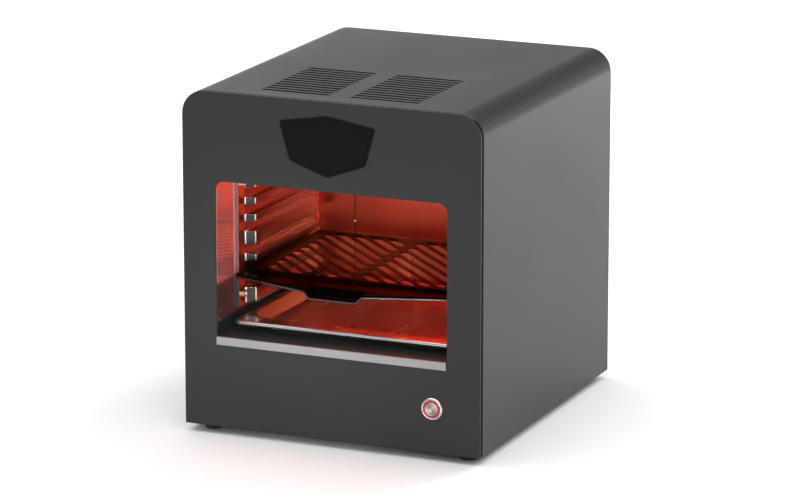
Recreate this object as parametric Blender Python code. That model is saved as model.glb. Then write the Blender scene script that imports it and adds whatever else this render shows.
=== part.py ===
"""Countertop electric grill with an open front and heat from above.

A grey steel casing stands on four rubber feet. A front panel with a wide window stands a few
millimetres ahead of it. Behind the window is a bright cooking space with a pressed rack on each
side, a slotted grill pan that slides in the rack, and a drip tray on the floor. A bent heating
element hangs under the reflector. The space behind and below holds the wiring, the relay board
and the push switch.

Metres, +Z up. The front faces -Y. The origin is at the centre of the box round the whole grill,
on the surface that it stands on.
"""

import math

import bmesh
import bpy
from mathutils import Matrix
from mathutils import Vector

# Casing
BODY_WIDTH = 0.350
BODY_DEPTH = 0.385
BODY_HEIGHT = 0.375
CORNER_RADIUS = 0.026
CORNER_STEPS = 7
SHELL_THICKNESS = 0.0012
FRONT_HEM = 0.0032
REAR_FLANGE = 0.014
BASE_FLANGE = 0.012
FOLD_RELIEF = 0.006
SEAT_GAP = 0.0003
CUT_OVERRUN = 0.004
MERGE_DISTANCE = 0.000001
SMOOTH_EDGE_DEGREES = 32.0
BEVELLED_EDGE_DEGREES = 50.0

# Slots in the top of the casing
TOP_SLOT_LENGTH = 0.079
TOP_SLOT_WIDTH = 0.0052
TOP_SLOT_PITCH = 0.0111
TOP_SLOT_COUNT = 12
TOP_SLOT_MIDDLE_GAP = 0.0255
TOP_SLOTS_FROM_FRONT = 0.0345
TOP_SLOTS_OFFSET = -0.003

# Front panel
FRONT_PANEL_THICKNESS = 0.0025
SHADOW_GAP = 0.005
WINDOW_WIDTH = 0.272
WINDOW_TOP = 0.2765
WINDOW_RADIUS = 0.0095
WINDOW_STEPS = 6
PANEL_EDGE_BEVEL = 0.0004
STUD_RADIUS = 0.002
STUD_LENGTH = 0.012
STUD_INSET = 0.022

# Frame behind the front panel
FRAME_INSET = 0.004
FRAME_DEPTH = 0.014
FRAME_CLEARANCE = 0.0015
FRAME_TOP_BAR = 0.075
FRAME_MIDDLE_BAR = 0.0185
FRAME_SIDE_BAR = 0.030
FRAME_FOOT_BAR = 0.020

# Cooking space
FLOOR_HEIGHT = 0.1025
FLOOR_THICKNESS = 0.0012
LIP_HEIGHT = 0.009
LINER_THICKNESS = 0.0008
LINER_TOP = 0.298
LINER_FLANGE = 0.015
LINER_BOTTOM_FLANGE = 0.020
CAVITY_DEPTH = 0.2685
LINER_TAIL = 0.014
BACK_FLANGE = 0.011

# Reflector, insulation and heat shield
REFLECTOR_RISE = 0.020
REFLECTOR_SLOPE = 0.022
REFLECTOR_SETBACK = 0.004
REFLECTOR_APRON = 0.0205
BLANKET_THICKNESS = 0.016
BLANKET_MARGIN = 0.004
BLANKET_BEVEL = 0.003
SHIELD_HEADROOM = 0.004
SHIELD_SIDE_INSET = 0.001

# Pressed racks
RACK_THICKNESS = 0.001
RACK_SETBACK = 0.051
RACK_LENGTH = 0.214
RACK_CLEARANCE = 0.020
RACK_MARGIN = 0.0015
RACK_FLANGE = 0.0018
BEAD_RISE = 0.0112
BEAD_DRAFT = 0.0006
BEAD_FRONT_STRIP = 0.020
BEAD_REAR_STRIP = 0.010
BEAD_FRONT_RAMP = 0.0055
BEAD_REAR_RAMP = 0.012
GROOVE_HEIGHT = 0.011
SLIM_BEAD = 0.008
MIDDLE_BEAD = 0.015
LOWEST_BEAD = 0.017
PAN_GROOVE_COUNT = 1
RACK_NUT_FROM_FRONT = 0.014
RACK_NUT_LOW = 0.0335
RACK_NUT_HIGH = 0.158
NUT_ACROSS_FLATS = 0.0075
NUT_HEIGHT = 0.0034
NUT_DOME_RADIUS = 0.0032
NUT_DOME_STEPS = 3
NUT_STEPS = 10
NUT_SHANK_RADIUS = 0.0018
NUT_SHANK_PAST_WALL = 0.004
SCREW_CLEARANCE = 0.0003

# Heating element and its supports
ELEMENT_RADIUS = 0.004
ELEMENT_LEG_COUNT = 8
ELEMENT_PITCH = 0.030
ELEMENT_DROP = 0.0105
ELEMENT_FRONT_BEND = 0.042
ELEMENT_REAR_BEND = 0.026
ELEMENT_COLD_END = 0.034
ELEMENT_BEND_STEPS = 6
ELEMENT_RING_STEPS = 2
COMB_HEIGHT = 0.015
COMB_THICKNESS = 0.0012
COMB_BELOW_TUBE = 0.0055
COMB_TAB = 0.010
COMB_FRONT = 0.066
COMB_REAR = 0.212
COMB_SLOT_STEPS = 4
BUSHING_RADIUS = 0.0082
BUSHING_HEAD = 0.003
BUSHING_NECK_RADIUS = 0.0058
BUSHING_NECK = 0.0025
BUSHING_STEPS = 14

# Grill pan
PAN_WIDTH = 0.260
PAN_THICKNESS = 0.0015
PAN_SKIRT = 0.0045
PAN_REAR_GAP = 0.010
PAN_CORNER_SETBACK = 0.0365
PAN_NOSE_SETBACK = 0.0055
PAN_NOSE_WIDTH = 0.068
TAB_SETBACK = 0.0035
TAB_WIDTH = 0.054
TAB_DROP = 0.0065
TAB_ROOT_SETBACK = 0.022
TAB_SLOPE = 0.006
TAB_SLOT_LENGTH = 0.028
TAB_SLOT_WIDTH = 0.0055
TAB_SLOT_SETBACK = 0.0125
TAB_SLOT_OFFSET = -0.0075
GRATE_WIDTH = 0.232
GRATE_SETBACK = 0.048
GRATE_REAR_MARGIN = 0.012
GRATE_RISE = 0.0035
GRATE_SHOULDER = 0.003
GRATE_BAR = 0.0048
GRATE_SLOT = 0.0102
GRATE_BORDER = 0.004
GRATE_SPINE = 0.006
GRATE_LEAST_SLOT = 0.012
GRATE_SLOT_END_STEPS = 4

# Drip tray
TRAY_WIDTH = 0.260
TRAY_SETBACK = 0.0265
TRAY_REAR_GAP = 0.007
TRAY_HEIGHT = 0.0125
TRAY_THICKNESS = 0.0008
TRAY_RIM = 0.008
TRAY_FRONT_RIM = 0.022
TRAY_RIM_TURN = 0.0035
TRAY_WALL_SLOPE = 0.012
TRAY_CORNER_RADIUS = 0.009
TRAY_WELL_RADIUS = 0.026
TRAY_CORNER_STEPS = 6

# Base, feet and supports under the cooking space
BASE_THICKNESS = 0.0012
BASE_EDGE = 0.010
BASE_SLOT_LENGTH = 0.060
BASE_SLOT_WIDTH = 0.005
BASE_SLOT_PITCH = 0.014
BASE_SLOT_COUNT = 5
BASE_SLOTS_APART = 0.150
BASE_SLOTS_SETBACK = 0.250
FOOT_HEIGHT = 0.009
FOOT_RADIUS = 0.010
FOOT_TAPER = 0.0012
FOOT_BEVEL = 0.0015
FOOT_STEM_RADIUS = 0.0025
FOOT_STEM_CLEARANCE = 0.0003
FOOT_BARB_RADIUS = 0.0042
FOOT_BARB_HEIGHT = 0.005
FOOT_STEPS = 16
FOOT_SPREAD = 0.304
FRONT_FOOT_SETBACK = 0.024
REAR_FOOT_SETBACK = 0.052
SUPPORT_THICKNESS = 0.0012
SUPPORT_FLANGE = 0.018
SUPPORT_INSET = 0.022
SUPPORT_SETBACK = 0.060
SUPPORT_LENGTH = 0.195
SUPPORT_HOLE_RADIUS = 0.0185
SUPPORT_HOLE_PITCH = 0.055
SUPPORT_HOLE_COUNT = 3
SUPPORT_HOLE_STEPS = 16

# Rear panel and its screws
REAR_SLOT_LENGTH = 0.070
REAR_SLOT_WIDTH = 0.005
REAR_SLOT_PITCH = 0.012
REAR_SLOT_COUNT = 7
REAR_SLOTS_APART = 0.110
REAR_SLOTS_LOW = 0.225
SCREW_HEAD_RADIUS = 0.0036
SCREW_HEAD_HEIGHT = 0.0022
SCREW_HEAD_CROWN_SHARE = 0.55
SCREW_SHANK_RADIUS = 0.0017
SCREW_LENGTH = 0.008
SCREW_STEPS = 8
SCREW_FLANGE_SHARE = 0.5
REAR_SCREW_LOW = 0.030
REAR_SCREW_MIDDLE = 0.190
BASE_SCREW_FRONT = 0.060
BASE_SCREW_REAR = 0.060

# Push switch
SWITCH_FROM_RIGHT = 0.0555
SWITCH_HEIGHT = 0.0495
BEZEL_RADIUS = 0.0125
BEZEL_RISE = 0.0024
BEZEL_EDGE = 0.0009
BARREL_RADIUS = 0.0108
BARREL_LENGTH = 0.030
BARREL_WALL = 0.0016
RING_RADIUS = 0.0103
RING_SEAT_DEPTH = 0.0030
RING_PROUD = 0.0003
CAP_RADIUS = 0.0076
CAP_THICKNESS = 0.0045
CAP_DISH_DEPTH = 0.0008
CAP_STEM_RADIUS = 0.0020
BUTTON_TRAVEL = 0.0025
SLIDE_CLEARANCE = 0.0003
SPRING_WIRE_RADIUS = 0.0004
SPRING_RADIUS = 0.0050
SPRING_TURN_COUNT = 4
SPRING_STEPS = 8
SPRING_RING_STEPS = 1
SPRING_ROOM = 0.0095
SHOULDER_THICKNESS = 0.0015
SWITCH_STEPS = 20
SWITCH_NUT_FLATS = 0.027
SWITCH_NUT_HEIGHT = 0.0035
SWITCH_INSERT_LENGTH = 0.012
SWITCH_INSERT_PAST = 0.006
SWITCH_LUG_WIDTH = 0.0028
SWITCH_LUG_THICKNESS = 0.0005
SWITCH_LUG_LENGTH = 0.006
SWITCH_LUG_SPREAD = 0.0055

# Badge plate
BADGE_OFFSET = -0.0028
BADGE_TIP_HEIGHT = 0.292
BADGE_HEIGHT = 0.068
BADGE_WIDTH = 0.113
BADGE_THICKNESS = 0.001
BADGE_BEVEL = 0.0003
BADGE_OUTLINE_SHARES = ((0.0, 0.0), (0.79, 0.235), (1.0, 0.865), (0.0, 1.0), (-1.0, 0.865), (-0.79, 0.235))

# Electrical parts behind and below the cooking space
BOARD_LENGTH = 0.095
BOARD_WIDTH = 0.070
BOARD_THICKNESS = 0.0016
BOARD_HEIGHT = 0.008
BOARD_LEG_RADIUS = 0.0025
BOARD_LEG_INSET = 0.006
BOARD_LEG_STEPS = 8
BOARD_FROM_MIDDLE = 0.045
BOARD_SETBACK = 0.215
RELAY_LENGTH = 0.030
RELAY_WIDTH = 0.016
RELAY_HEIGHT = 0.026
RELAY_BEVEL = 0.0008
BLOCK_LENGTH = 0.038
BLOCK_DEPTH = 0.018
BLOCK_HEIGHT = 0.016
BLOCK_WAY_COUNT = 3
BLOCK_PITCH = 0.012
BLOCK_WELL_RADIUS = 0.0028
BLOCK_WELL_DEPTH = 0.007
BLOCK_FROM_REAR = 0.052
GLAND_FROM_MIDDLE = 0.110
GLAND_HEIGHT = 0.034
GLAND_FLATS = 0.022
GLAND_HEX_HEIGHT = 0.006
GLAND_DOME_RADIUS = 0.0095
GLAND_DOME_HEIGHT = 0.007
GLAND_BORE_RADIUS = 0.0042
GLAND_THREAD_RADIUS = 0.0078
GLAND_THREAD_LENGTH = 0.010
GLAND_NUT_HEIGHT = 0.004
GLAND_STEPS = 14
CUTOUT_RADIUS = 0.0085
CUTOUT_HEIGHT = 0.006
CUTOUT_FLANGE_WIDTH = 0.034
CUTOUT_FLANGE_HEIGHT = 0.008
CUTOUT_FLANGE_THICKNESS = 0.001
CUTOUT_BELOW_TOP = 0.030
CUTOUT_LUG_WIDTH = 0.0063
CUTOUT_LUG_THICKNESS = 0.0008
CUTOUT_LUG_LENGTH = 0.009
CUTOUT_LUG_SPREAD = 0.005
CUTOUT_STEPS = 16
LEAD_RADIUS = 0.0014
LEAD_RING_STEPS = 1
LEAD_POINT_SPACING = 0.014
LEAD_RISE = 0.016
LEAD_SWEEP = 0.018
LEAD_SIDE_SWEEP = 0.0082
BOARD_PAD_SHARE = 1 / 3
CUTOUT_LEAD_SHARE = 1 / 8

# Places that follow from the sizes above
FRONT_Y = -BODY_DEPTH / 2
REAR_Y = BODY_DEPTH / 2
PANEL_BACK_Y = FRONT_Y + FRONT_PANEL_THICKNESS
SHELL_FRONT_Y = PANEL_BACK_Y + SHADOW_GAP
REAR_PANEL_Y = REAR_Y - SHELL_THICKNESS
SHELL_REAR_Y = REAR_PANEL_Y - SEAT_GAP
LINER_FRONT_Y = PANEL_BACK_Y + SEAT_GAP
FRAME_FRONT_Y = LINER_FRONT_Y + LINER_THICKNESS + SEAT_GAP
FRAME_WEB_BACK_Y = FRAME_FRONT_Y + SHELL_THICKNESS
BACK_WALL_Y = FRONT_Y + CAVITY_DEPTH
LINER_REAR_Y = BACK_WALL_Y + LINER_TAIL
WINDOW_BOTTOM = FLOOR_HEIGHT - FLOOR_THICKNESS - SEAT_GAP
WALL_X = WINDOW_WIDTH / 2
LINER_BOTTOM = WINDOW_BOTTOM
REFLECTOR_Z = LINER_TOP + SEAT_GAP
BASE_BOTTOM = SHELL_THICKNESS + SEAT_GAP
BASE_TOP = BASE_BOTTOM + BASE_THICKNESS
RACK_BOTTOM = FLOOR_HEIGHT + RACK_CLEARANCE
RACK_FRONT_Y = FRONT_Y + RACK_SETBACK
RACK_REAR_Y = RACK_FRONT_Y + RACK_LENGTH
RACK_FACE = WALL_X - SEAT_GAP - RACK_THICKNESS
SWITCH_X = BODY_WIDTH / 2 - SWITCH_FROM_RIGHT
GLAND_OUT = GLAND_HEX_HEIGHT + GLAND_DOME_HEIGHT + SEAT_GAP
SWITCH_OUT = BEZEL_RISE + SEAT_GAP + RING_PROUD
ORIGIN_SHIFT = (SWITCH_OUT - GLAND_OUT) / 2


def bead_levels():
    """Lowest and highest edge of each bead above the floor of the body, from the bottom up."""
    widths = [LOWEST_BEAD, SLIM_BEAD, SLIM_BEAD, MIDDLE_BEAD, SLIM_BEAD, SLIM_BEAD, SLIM_BEAD]
    level = RACK_BOTTOM + RACK_MARGIN
    levels = []
    for width in widths:
        levels.append((level, level + width))
        level += width + GROOVE_HEIGHT
    return levels


def clear_scene():
    for old in list(bpy.data.objects):
        bpy.data.objects.remove(old, do_unlink=True)


def make_material(name, colour, roughness, metallic, glow=0.0):
    material = bpy.data.materials.new(name)
    material.use_nodes = True
    shader = material.node_tree.nodes["Principled BSDF"]
    shader.inputs["Base Color"].default_value = (*colour, 1.0)
    shader.inputs["Roughness"].default_value = roughness
    shader.inputs["Metallic"].default_value = metallic
    shader.inputs["Emission Color"].default_value = (*colour, 1.0)
    shader.inputs["Emission Strength"].default_value = glow
    material.diffuse_color = (*colour, 1.0)
    return material


def mesh_from_bmesh(name, bm):
    mesh = bpy.data.meshes.new(name)
    bm.to_mesh(mesh)
    bm.free()
    mesh.shade_smooth()
    mesh.set_sharp_from_angle(angle=math.radians(SMOOTH_EDGE_DEGREES))
    return mesh


def closed_mesh(name, bm):
    bmesh.ops.remove_doubles(bm, verts=bm.verts, dist=MERGE_DISTANCE)
    bmesh.ops.recalc_face_normals(bm, faces=bm.faces)
    return mesh_from_bmesh(name, bm)


def prism(name, outline, low, high, axis, far_outline=None):
    """An outline extruded along an axis, or drawn out to a far outline of as many points.

    The outline's pairs are the other two axes in order.
    """
    order = {"X": (2, 0, 1), "Y": (0, 2, 1), "Z": (0, 1, 2)}[axis]
    bm = bmesh.new()
    rings = []
    for pairs, along in ((outline, low), (far_outline or outline, high)):
        triples = [(pair[0], pair[1], along) for pair in pairs]
        rings.append([bm.verts.new([triple[index] for index in order]) for triple in triples])
    for ring in rings:
        bm.faces.new(ring)
    near, far = rings
    for index in range(len(near)):
        bm.faces.new([near[index - 1], near[index], far[index], far[index - 1]])
    return closed_mesh(name, bm)


def box(name, size, centre):
    bm = bmesh.new()
    matrix = Matrix.Translation(centre) @ Matrix.Diagonal((*size, 1.0))
    bmesh.ops.create_cube(bm, size=1.0, matrix=matrix)
    return closed_mesh(name, bm)


def turned(name, profile, steps, axis="Z", closed=False):
    """A profile of (radius, height) pairs turned round the given axis."""
    bm = bmesh.new()
    points = [bm.verts.new((radius, 0.0, height)) for radius, height in profile]
    pairs = list(zip(points, points[1:]))
    if closed:
        pairs.append((points[-1], points[0]))
    edges = [bm.edges.new(pair) for pair in pairs]
    bmesh.ops.spin(
        bm,
        geom=points + edges,
        cent=(0.0, 0.0, 0.0),
        axis=(0.0, 0.0, 1.0),
        angle=math.tau,
        steps=steps,
        use_merge=True,
    )
    bmesh.ops.remove_doubles(bm, verts=bm.verts, dist=MERGE_DISTANCE)
    turn = {
        "Z": Matrix.Identity(4),
        "Y": Matrix.Rotation(-math.pi / 2, 4, "X"),
        "X": Matrix.Rotation(math.pi / 2, 4, "Y"),
    }[axis]
    bmesh.ops.transform(bm, matrix=turn, verts=bm.verts)
    return closed_mesh(name, bm)


def arc(centre, radius, start, end, steps):
    """Points of an arc, with angles in degrees."""
    points = []
    for index in range(steps + 1):
        angle = math.radians(start + (end - start) * index / steps)
        points.append((centre[0] + radius * math.cos(angle), centre[1] + radius * math.sin(angle)))
    return points


def circle(radius, steps, centre=(0.0, 0.0)):
    return arc(centre, radius, 0.0, 360.0, steps)[:-1]


def hexagon(across_flats):
    return circle(across_flats / math.sqrt(3.0), 6)


def rectangle(left, right, low, high):
    return [(left, low), (right, low), (right, high), (left, high)]


def casing_profile(inset):
    """Left side, rounded top and right side of the casing, moved inwards by the inset."""
    side = BODY_WIDTH / 2 - inset
    top = BODY_HEIGHT - inset
    radius = CORNER_RADIUS - inset
    left = arc((-side + radius, top - radius), radius, 180.0, 90.0, CORNER_STEPS)
    right = arc((side - radius, top - radius), radius, 90.0, 0.0, CORNER_STEPS)
    return left + right


def casing_outline(inset, bottom):
    side = BODY_WIDTH / 2 - inset
    return [(-side, bottom)] + casing_profile(inset) + [(side, bottom)]


def sheet(name, faces, thickness):
    """Sheet metal folded along the shared edges of its faces, all wound the same way.

    The faces lie on one skin of the sheet, and the thickness goes away from their normals.
    """
    bm = bmesh.new()
    for face in faces:
        bm.faces.new([bm.verts.new(point) for point in face])
    bmesh.ops.remove_doubles(bm, verts=bm.verts, dist=MERGE_DISTANCE)
    mesh = mesh_from_bmesh(name, bm)
    shape = bpy.data.objects.new(name, mesh)
    fold = shape.modifiers.new("Sheet", "SOLIDIFY")
    fold.solidify_mode = "NON_MANIFOLD"
    fold.nonmanifold_thickness_mode = "CONSTRAINTS"
    fold.nonmanifold_merge_threshold = MERGE_DISTANCE
    fold.thickness = thickness
    fold.offset = -1.0
    return shape


def strip_faces(rows):
    """Quads between neighbouring rows of points."""
    faces = []
    for first, second in zip(rows, rows[1:]):
        for index in range(len(first) - 1):
            faces.append([first[index], first[index + 1], second[index + 1], second[index]])
    return faces


def flipped(faces):
    return [list(reversed(face)) for face in faces]


def add(shape, material, parent, location=(0.0, 0.0, 0.0)):
    shape.data.materials.clear()
    shape.data.materials.append(material)
    shape.location = location
    shape.parent = parent
    bpy.context.scene.collection.objects.link(shape)
    return shape


def piece(name, mesh, material, parent, location=(0.0, 0.0, 0.0)):
    return add(bpy.data.objects.new(name, mesh), material, parent, location)


def helper(name, mesh, parent, location=(0.0, 0.0, 0.0)):
    """A hidden shape that a Boolean uses."""
    shape = bpy.data.objects.new(name, mesh)
    shape.location = location
    shape.parent = parent
    shape.hide_render = True
    shape.display_type = "WIRE"
    bpy.context.scene.collection.objects.link(shape)
    return shape


def boolean(target, other, operation):
    modifier = target.modifiers.new(operation.title(), "BOOLEAN")
    modifier.operation = operation
    modifier.solver = "EXACT"
    modifier.object = other


def joined(name, meshes):
    """Separate closed meshes gathered in one mesh, for cutters that don't touch each other."""
    bm = bmesh.new()
    for mesh in meshes:
        bm.from_mesh(mesh)
        bpy.data.meshes.remove(mesh)
    return mesh_from_bmesh(name, bm)


def fused(name, meshes):
    """One mesh from closed meshes that overlap, by Boolean unions."""
    shapes = [bpy.data.objects.new(name, mesh) for mesh in meshes]
    for shape in shapes:
        bpy.context.scene.collection.objects.link(shape)
    for other in shapes[1:]:
        boolean(shapes[0], other, "UNION")
    bpy.context.view_layer.update()
    graph = bpy.context.evaluated_depsgraph_get()
    mesh = bpy.data.meshes.new_from_object(shapes[0].evaluated_get(graph))
    for shape in shapes:
        bpy.data.objects.remove(shape, do_unlink=True)
    mesh.name = name
    mesh.materials.clear()
    mesh.shade_smooth()
    mesh.set_sharp_from_angle(angle=math.radians(SMOOTH_EDGE_DEGREES))
    return mesh


def edge_bevel(shape, width):
    modifier = shape.modifiers.new("Edges", "BEVEL")
    modifier.width = width
    modifier.segments = 1
    modifier.limit_method = "ANGLE"
    modifier.angle_limit = math.radians(BEVELLED_EDGE_DEGREES)


def make_outer_shell(root, paint):
    """The folded wrapper: both sides and the top in one sheet, with slots in the top."""
    left_foot = (-BODY_WIDTH / 2, 0.0)
    right_foot = (BODY_WIDTH / 2, 0.0)
    profile = [left_foot] + casing_profile(0.0) + [right_foot]
    stations = [SHELL_FRONT_Y, SHELL_FRONT_Y + FOLD_RELIEF, SHELL_REAR_Y - FOLD_RELIEF, SHELL_REAR_Y]
    rows = [[(x, y, z) for x, z in profile] for y in stations]
    hem = [(x, SHELL_FRONT_Y, z) for x, z in casing_outline(FRONT_HEM, 0.0)]
    rear = [(x, SHELL_REAR_Y, z) for x, z in casing_outline(REAR_FLANGE, 0.0)]
    faces = strip_faces([hem] + rows + [rear])
    for side in (-1.0, 1.0):
        outer = side * BODY_WIDTH / 2
        inner = side * (BODY_WIDTH / 2 - BASE_FLANGE)
        flange = [
            (outer, stations[1], 0.0),
            (outer, stations[2], 0.0),
            (inner, stations[2], 0.0),
            (inner, stations[1], 0.0),
        ]
        faces.append(flange if side < 0.0 else list(reversed(flange)))
    shell = add(sheet("outer_shell", faces, SHELL_THICKNESS), paint, root)
    slots = []
    first = FRONT_Y + TOP_SLOTS_FROM_FRONT
    for side in (-1.0, 1.0):
        middle = TOP_SLOTS_OFFSET + side * (TOP_SLOT_MIDDLE_GAP + TOP_SLOT_LENGTH) / 2
        for index in range(TOP_SLOT_COUNT):
            centre = (middle, first + index * TOP_SLOT_PITCH, BODY_HEIGHT - SHELL_THICKNESS / 2)
            size = (TOP_SLOT_LENGTH, TOP_SLOT_WIDTH, SHELL_THICKNESS + 2 * CUT_OVERRUN)
            slots.append(box("top_slot", size, centre))
    boolean(shell, helper("top_slot_cutter", joined("top_slot_cutter", slots), root), "DIFFERENCE")
    holes = []
    radius = SCREW_SHANK_RADIUS + SCREW_CLEARANCE
    for place in base_screw_places():
        outline = circle(radius, SCREW_STEPS, place)
        holes.append(prism("base_hole", outline, -CUT_OVERRUN, BASE_TOP + CUT_OVERRUN, "Z"))
    for place in rear_screw_places():
        outline = circle(radius, SCREW_STEPS, place)
        near = SHELL_REAR_Y - SHELL_THICKNESS - CUT_OVERRUN
        holes.append(prism("rear_hole", outline, near, REAR_Y + CUT_OVERRUN, "Y"))
    cutter = helper("screw_hole_cutter", joined("screw_hole_cutter", holes), root)
    boolean(shell, cutter, "DIFFERENCE")
    return cutter


def base_screw_places():
    side = BODY_WIDTH / 2 - BASE_FLANGE * SCREW_FLANGE_SHARE
    front = FRONT_Y + BASE_SCREW_FRONT
    rear = REAR_Y - BASE_SCREW_REAR
    return [(-side, front), (side, front), (-side, rear), (side, rear)]


def rear_screw_places():
    side = BODY_WIDTH / 2 - REAR_FLANGE * SCREW_FLANGE_SHARE
    low = REAR_SCREW_LOW
    middle = REAR_SCREW_MIDDLE
    high = BODY_HEIGHT - REAR_FLANGE * SCREW_FLANGE_SHARE
    top = BODY_WIDTH / 2 - CORNER_RADIUS - REAR_FLANGE
    return [(-side, low), (side, low), (-side, middle), (side, middle), (-top, high), (top, high)]


def window_outline(width, low, high, radius):
    half = width / 2
    top = high - radius
    right = arc((half - radius, top), radius, 0.0, 90.0, WINDOW_STEPS)
    left = arc((-half + radius, top), radius, 90.0, 180.0, WINDOW_STEPS)
    return [(-half, low), (half, low)] + right + left


def stud_places():
    side = BODY_WIDTH / 2 - STUD_INSET
    high = BODY_HEIGHT - STUD_INSET
    return [(-side, STUD_INSET), (side, STUD_INSET), (-side, high), (side, high)]


def make_front(root, paint, black):
    """The front panel, which stands ahead of the wrapper on four welded studs, and its frame."""
    panel = piece(
        "front_panel",
        prism("front_panel", casing_outline(0.0, 0.0), FRONT_Y, PANEL_BACK_Y, "Y"),
        paint,
        root,
    )
    window = prism(
        "window_cutter",
        window_outline(WINDOW_WIDTH, WINDOW_BOTTOM, WINDOW_TOP, WINDOW_RADIUS),
        FRONT_Y - CUT_OVERRUN,
        PANEL_BACK_Y + CUT_OVERRUN,
        "Y",
    )
    boolean(panel, helper("window_cutter", window, root), "DIFFERENCE")
    hole = prism(
        "switch_hole_cutter",
        circle(BARREL_RADIUS + SLIDE_CLEARANCE, SWITCH_STEPS, (SWITCH_X, SWITCH_HEIGHT)),
        FRONT_Y - CUT_OVERRUN,
        PANEL_BACK_Y + CUT_OVERRUN,
        "Y",
    )
    boolean(panel, helper("switch_hole_cutter", hole, root), "DIFFERENCE")
    edge_bevel(panel, PANEL_EDGE_BEVEL)
    studs = [
        prism(
            "stud",
            circle(STUD_RADIUS, SCREW_STEPS, place),
            PANEL_BACK_Y - FRONT_PANEL_THICKNESS / 2,
            PANEL_BACK_Y + STUD_LENGTH,
            "Y",
        )
        for place in stud_places()
    ]
    boolean(panel, helper("panel_studs", joined("panel_studs", studs), root), "UNION")

    frame = piece(
        "front_frame",
        prism(
            "front_frame",
            casing_outline(FRAME_INSET, FRAME_INSET),
            FRAME_FRONT_Y,
            FRAME_FRONT_Y + FRAME_DEPTH,
            "Y",
        ),
        black,
        root,
    )
    inner = FRAME_INSET + SHELL_THICKNESS
    hollow = prism(
        "frame_hollow_cutter",
        casing_outline(inner, inner),
        FRAME_WEB_BACK_Y,
        FRAME_FRONT_Y + FRAME_DEPTH + CUT_OVERRUN,
        "Y",
    )
    boolean(frame, helper("frame_hollow_cutter", hollow, root), "DIFFERENCE")
    side = WALL_X + LINER_THICKNESS + SEAT_GAP
    sill = LINER_BOTTOM - LINER_THICKNESS - FRAME_CLEARANCE
    lower_side = BODY_WIDTH / 2 - FRAME_SIDE_BAR
    outlines = [
        rectangle(-side, side, sill, BODY_HEIGHT - FRAME_TOP_BAR),
        rectangle(-lower_side, lower_side, FRAME_FOOT_BAR, sill - FRAME_MIDDLE_BAR),
    ]
    outlines += [circle(STUD_RADIUS + SCREW_CLEARANCE, SCREW_STEPS, place) for place in stud_places()]
    openings = [
        prism(
            "frame_opening",
            outline,
            FRAME_FRONT_Y - CUT_OVERRUN,
            FRAME_WEB_BACK_Y + CUT_OVERRUN,
            "Y",
        )
        for outline in outlines
    ]
    boolean(frame, helper("frame_cutter", joined("frame_cutter", openings), root), "DIFFERENCE")


def make_rear_panel(root, paint, screw_holes):
    panel = piece(
        "rear_panel",
        prism("rear_panel", casing_outline(0.0, 0.0), REAR_PANEL_Y, REAR_Y, "Y"),
        paint,
        root,
    )
    cuts = []
    for side in (-1.0, 1.0):
        for index in range(REAR_SLOT_COUNT):
            centre = (
                side * REAR_SLOTS_APART / 2,
                REAR_Y - SHELL_THICKNESS / 2,
                REAR_SLOTS_LOW + index * REAR_SLOT_PITCH,
            )
            size = (REAR_SLOT_LENGTH, SHELL_THICKNESS + 2 * CUT_OVERRUN, REAR_SLOT_WIDTH)
            cuts.append(box("rear_slot", size, centre))
    gland = prism(
        "gland_hole",
        circle(GLAND_THREAD_RADIUS + SLIDE_CLEARANCE, GLAND_STEPS, (GLAND_FROM_MIDDLE, GLAND_HEIGHT)),
        REAR_PANEL_Y - CUT_OVERRUN,
        REAR_Y + CUT_OVERRUN,
        "Y",
    )
    cuts.append(gland)
    boolean(panel, helper("rear_cutter", joined("rear_cutter", cuts), root), "DIFFERENCE")
    boolean(panel, screw_holes, "DIFFERENCE")


def screw_mesh():
    """A pan head screw along +Z, with its head's seat at zero and the shank below."""
    crown = SCREW_HEAD_HEIGHT * SCREW_HEAD_CROWN_SHARE
    profile = [
        (0.0, SCREW_HEAD_HEIGHT),
        (SCREW_HEAD_RADIUS * SCREW_HEAD_CROWN_SHARE, SCREW_HEAD_HEIGHT),
        (SCREW_HEAD_RADIUS, crown),
        (SCREW_HEAD_RADIUS, SEAT_GAP),
        (SCREW_SHANK_RADIUS, SEAT_GAP),
        (SCREW_SHANK_RADIUS, -SCREW_LENGTH),
        (0.0, -SCREW_LENGTH),
    ]
    return turned("screw", profile, SCREW_STEPS)


def make_screws(root, steel):
    mesh = screw_mesh()
    names = ["low_left", "low_right", "middle_left", "middle_right", "top_left", "top_right"]
    for name, (x, z) in zip(names, rear_screw_places()):
        screw = piece("rear_screw_" + name, mesh, steel, root, (x, REAR_Y, z))
        screw.rotation_euler = (-math.pi / 2, 0.0, 0.0)
    names = ["front_left", "front_right", "rear_left", "rear_right"]
    for name, (x, y) in zip(names, base_screw_places()):
        screw = piece("base_screw_" + name, mesh, steel, root, (x, y, 0.0))
        screw.rotation_euler = (math.pi, 0.0, 0.0)


def foot_places():
    half = FOOT_SPREAD / 2
    front = FRONT_Y + FRONT_FOOT_SETBACK
    rear = REAR_Y - REAR_FOOT_SETBACK
    return [
        ("front_left", -half, front),
        ("front_right", half, front),
        ("rear_left", -half, rear),
        ("rear_right", half, rear),
    ]


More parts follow.
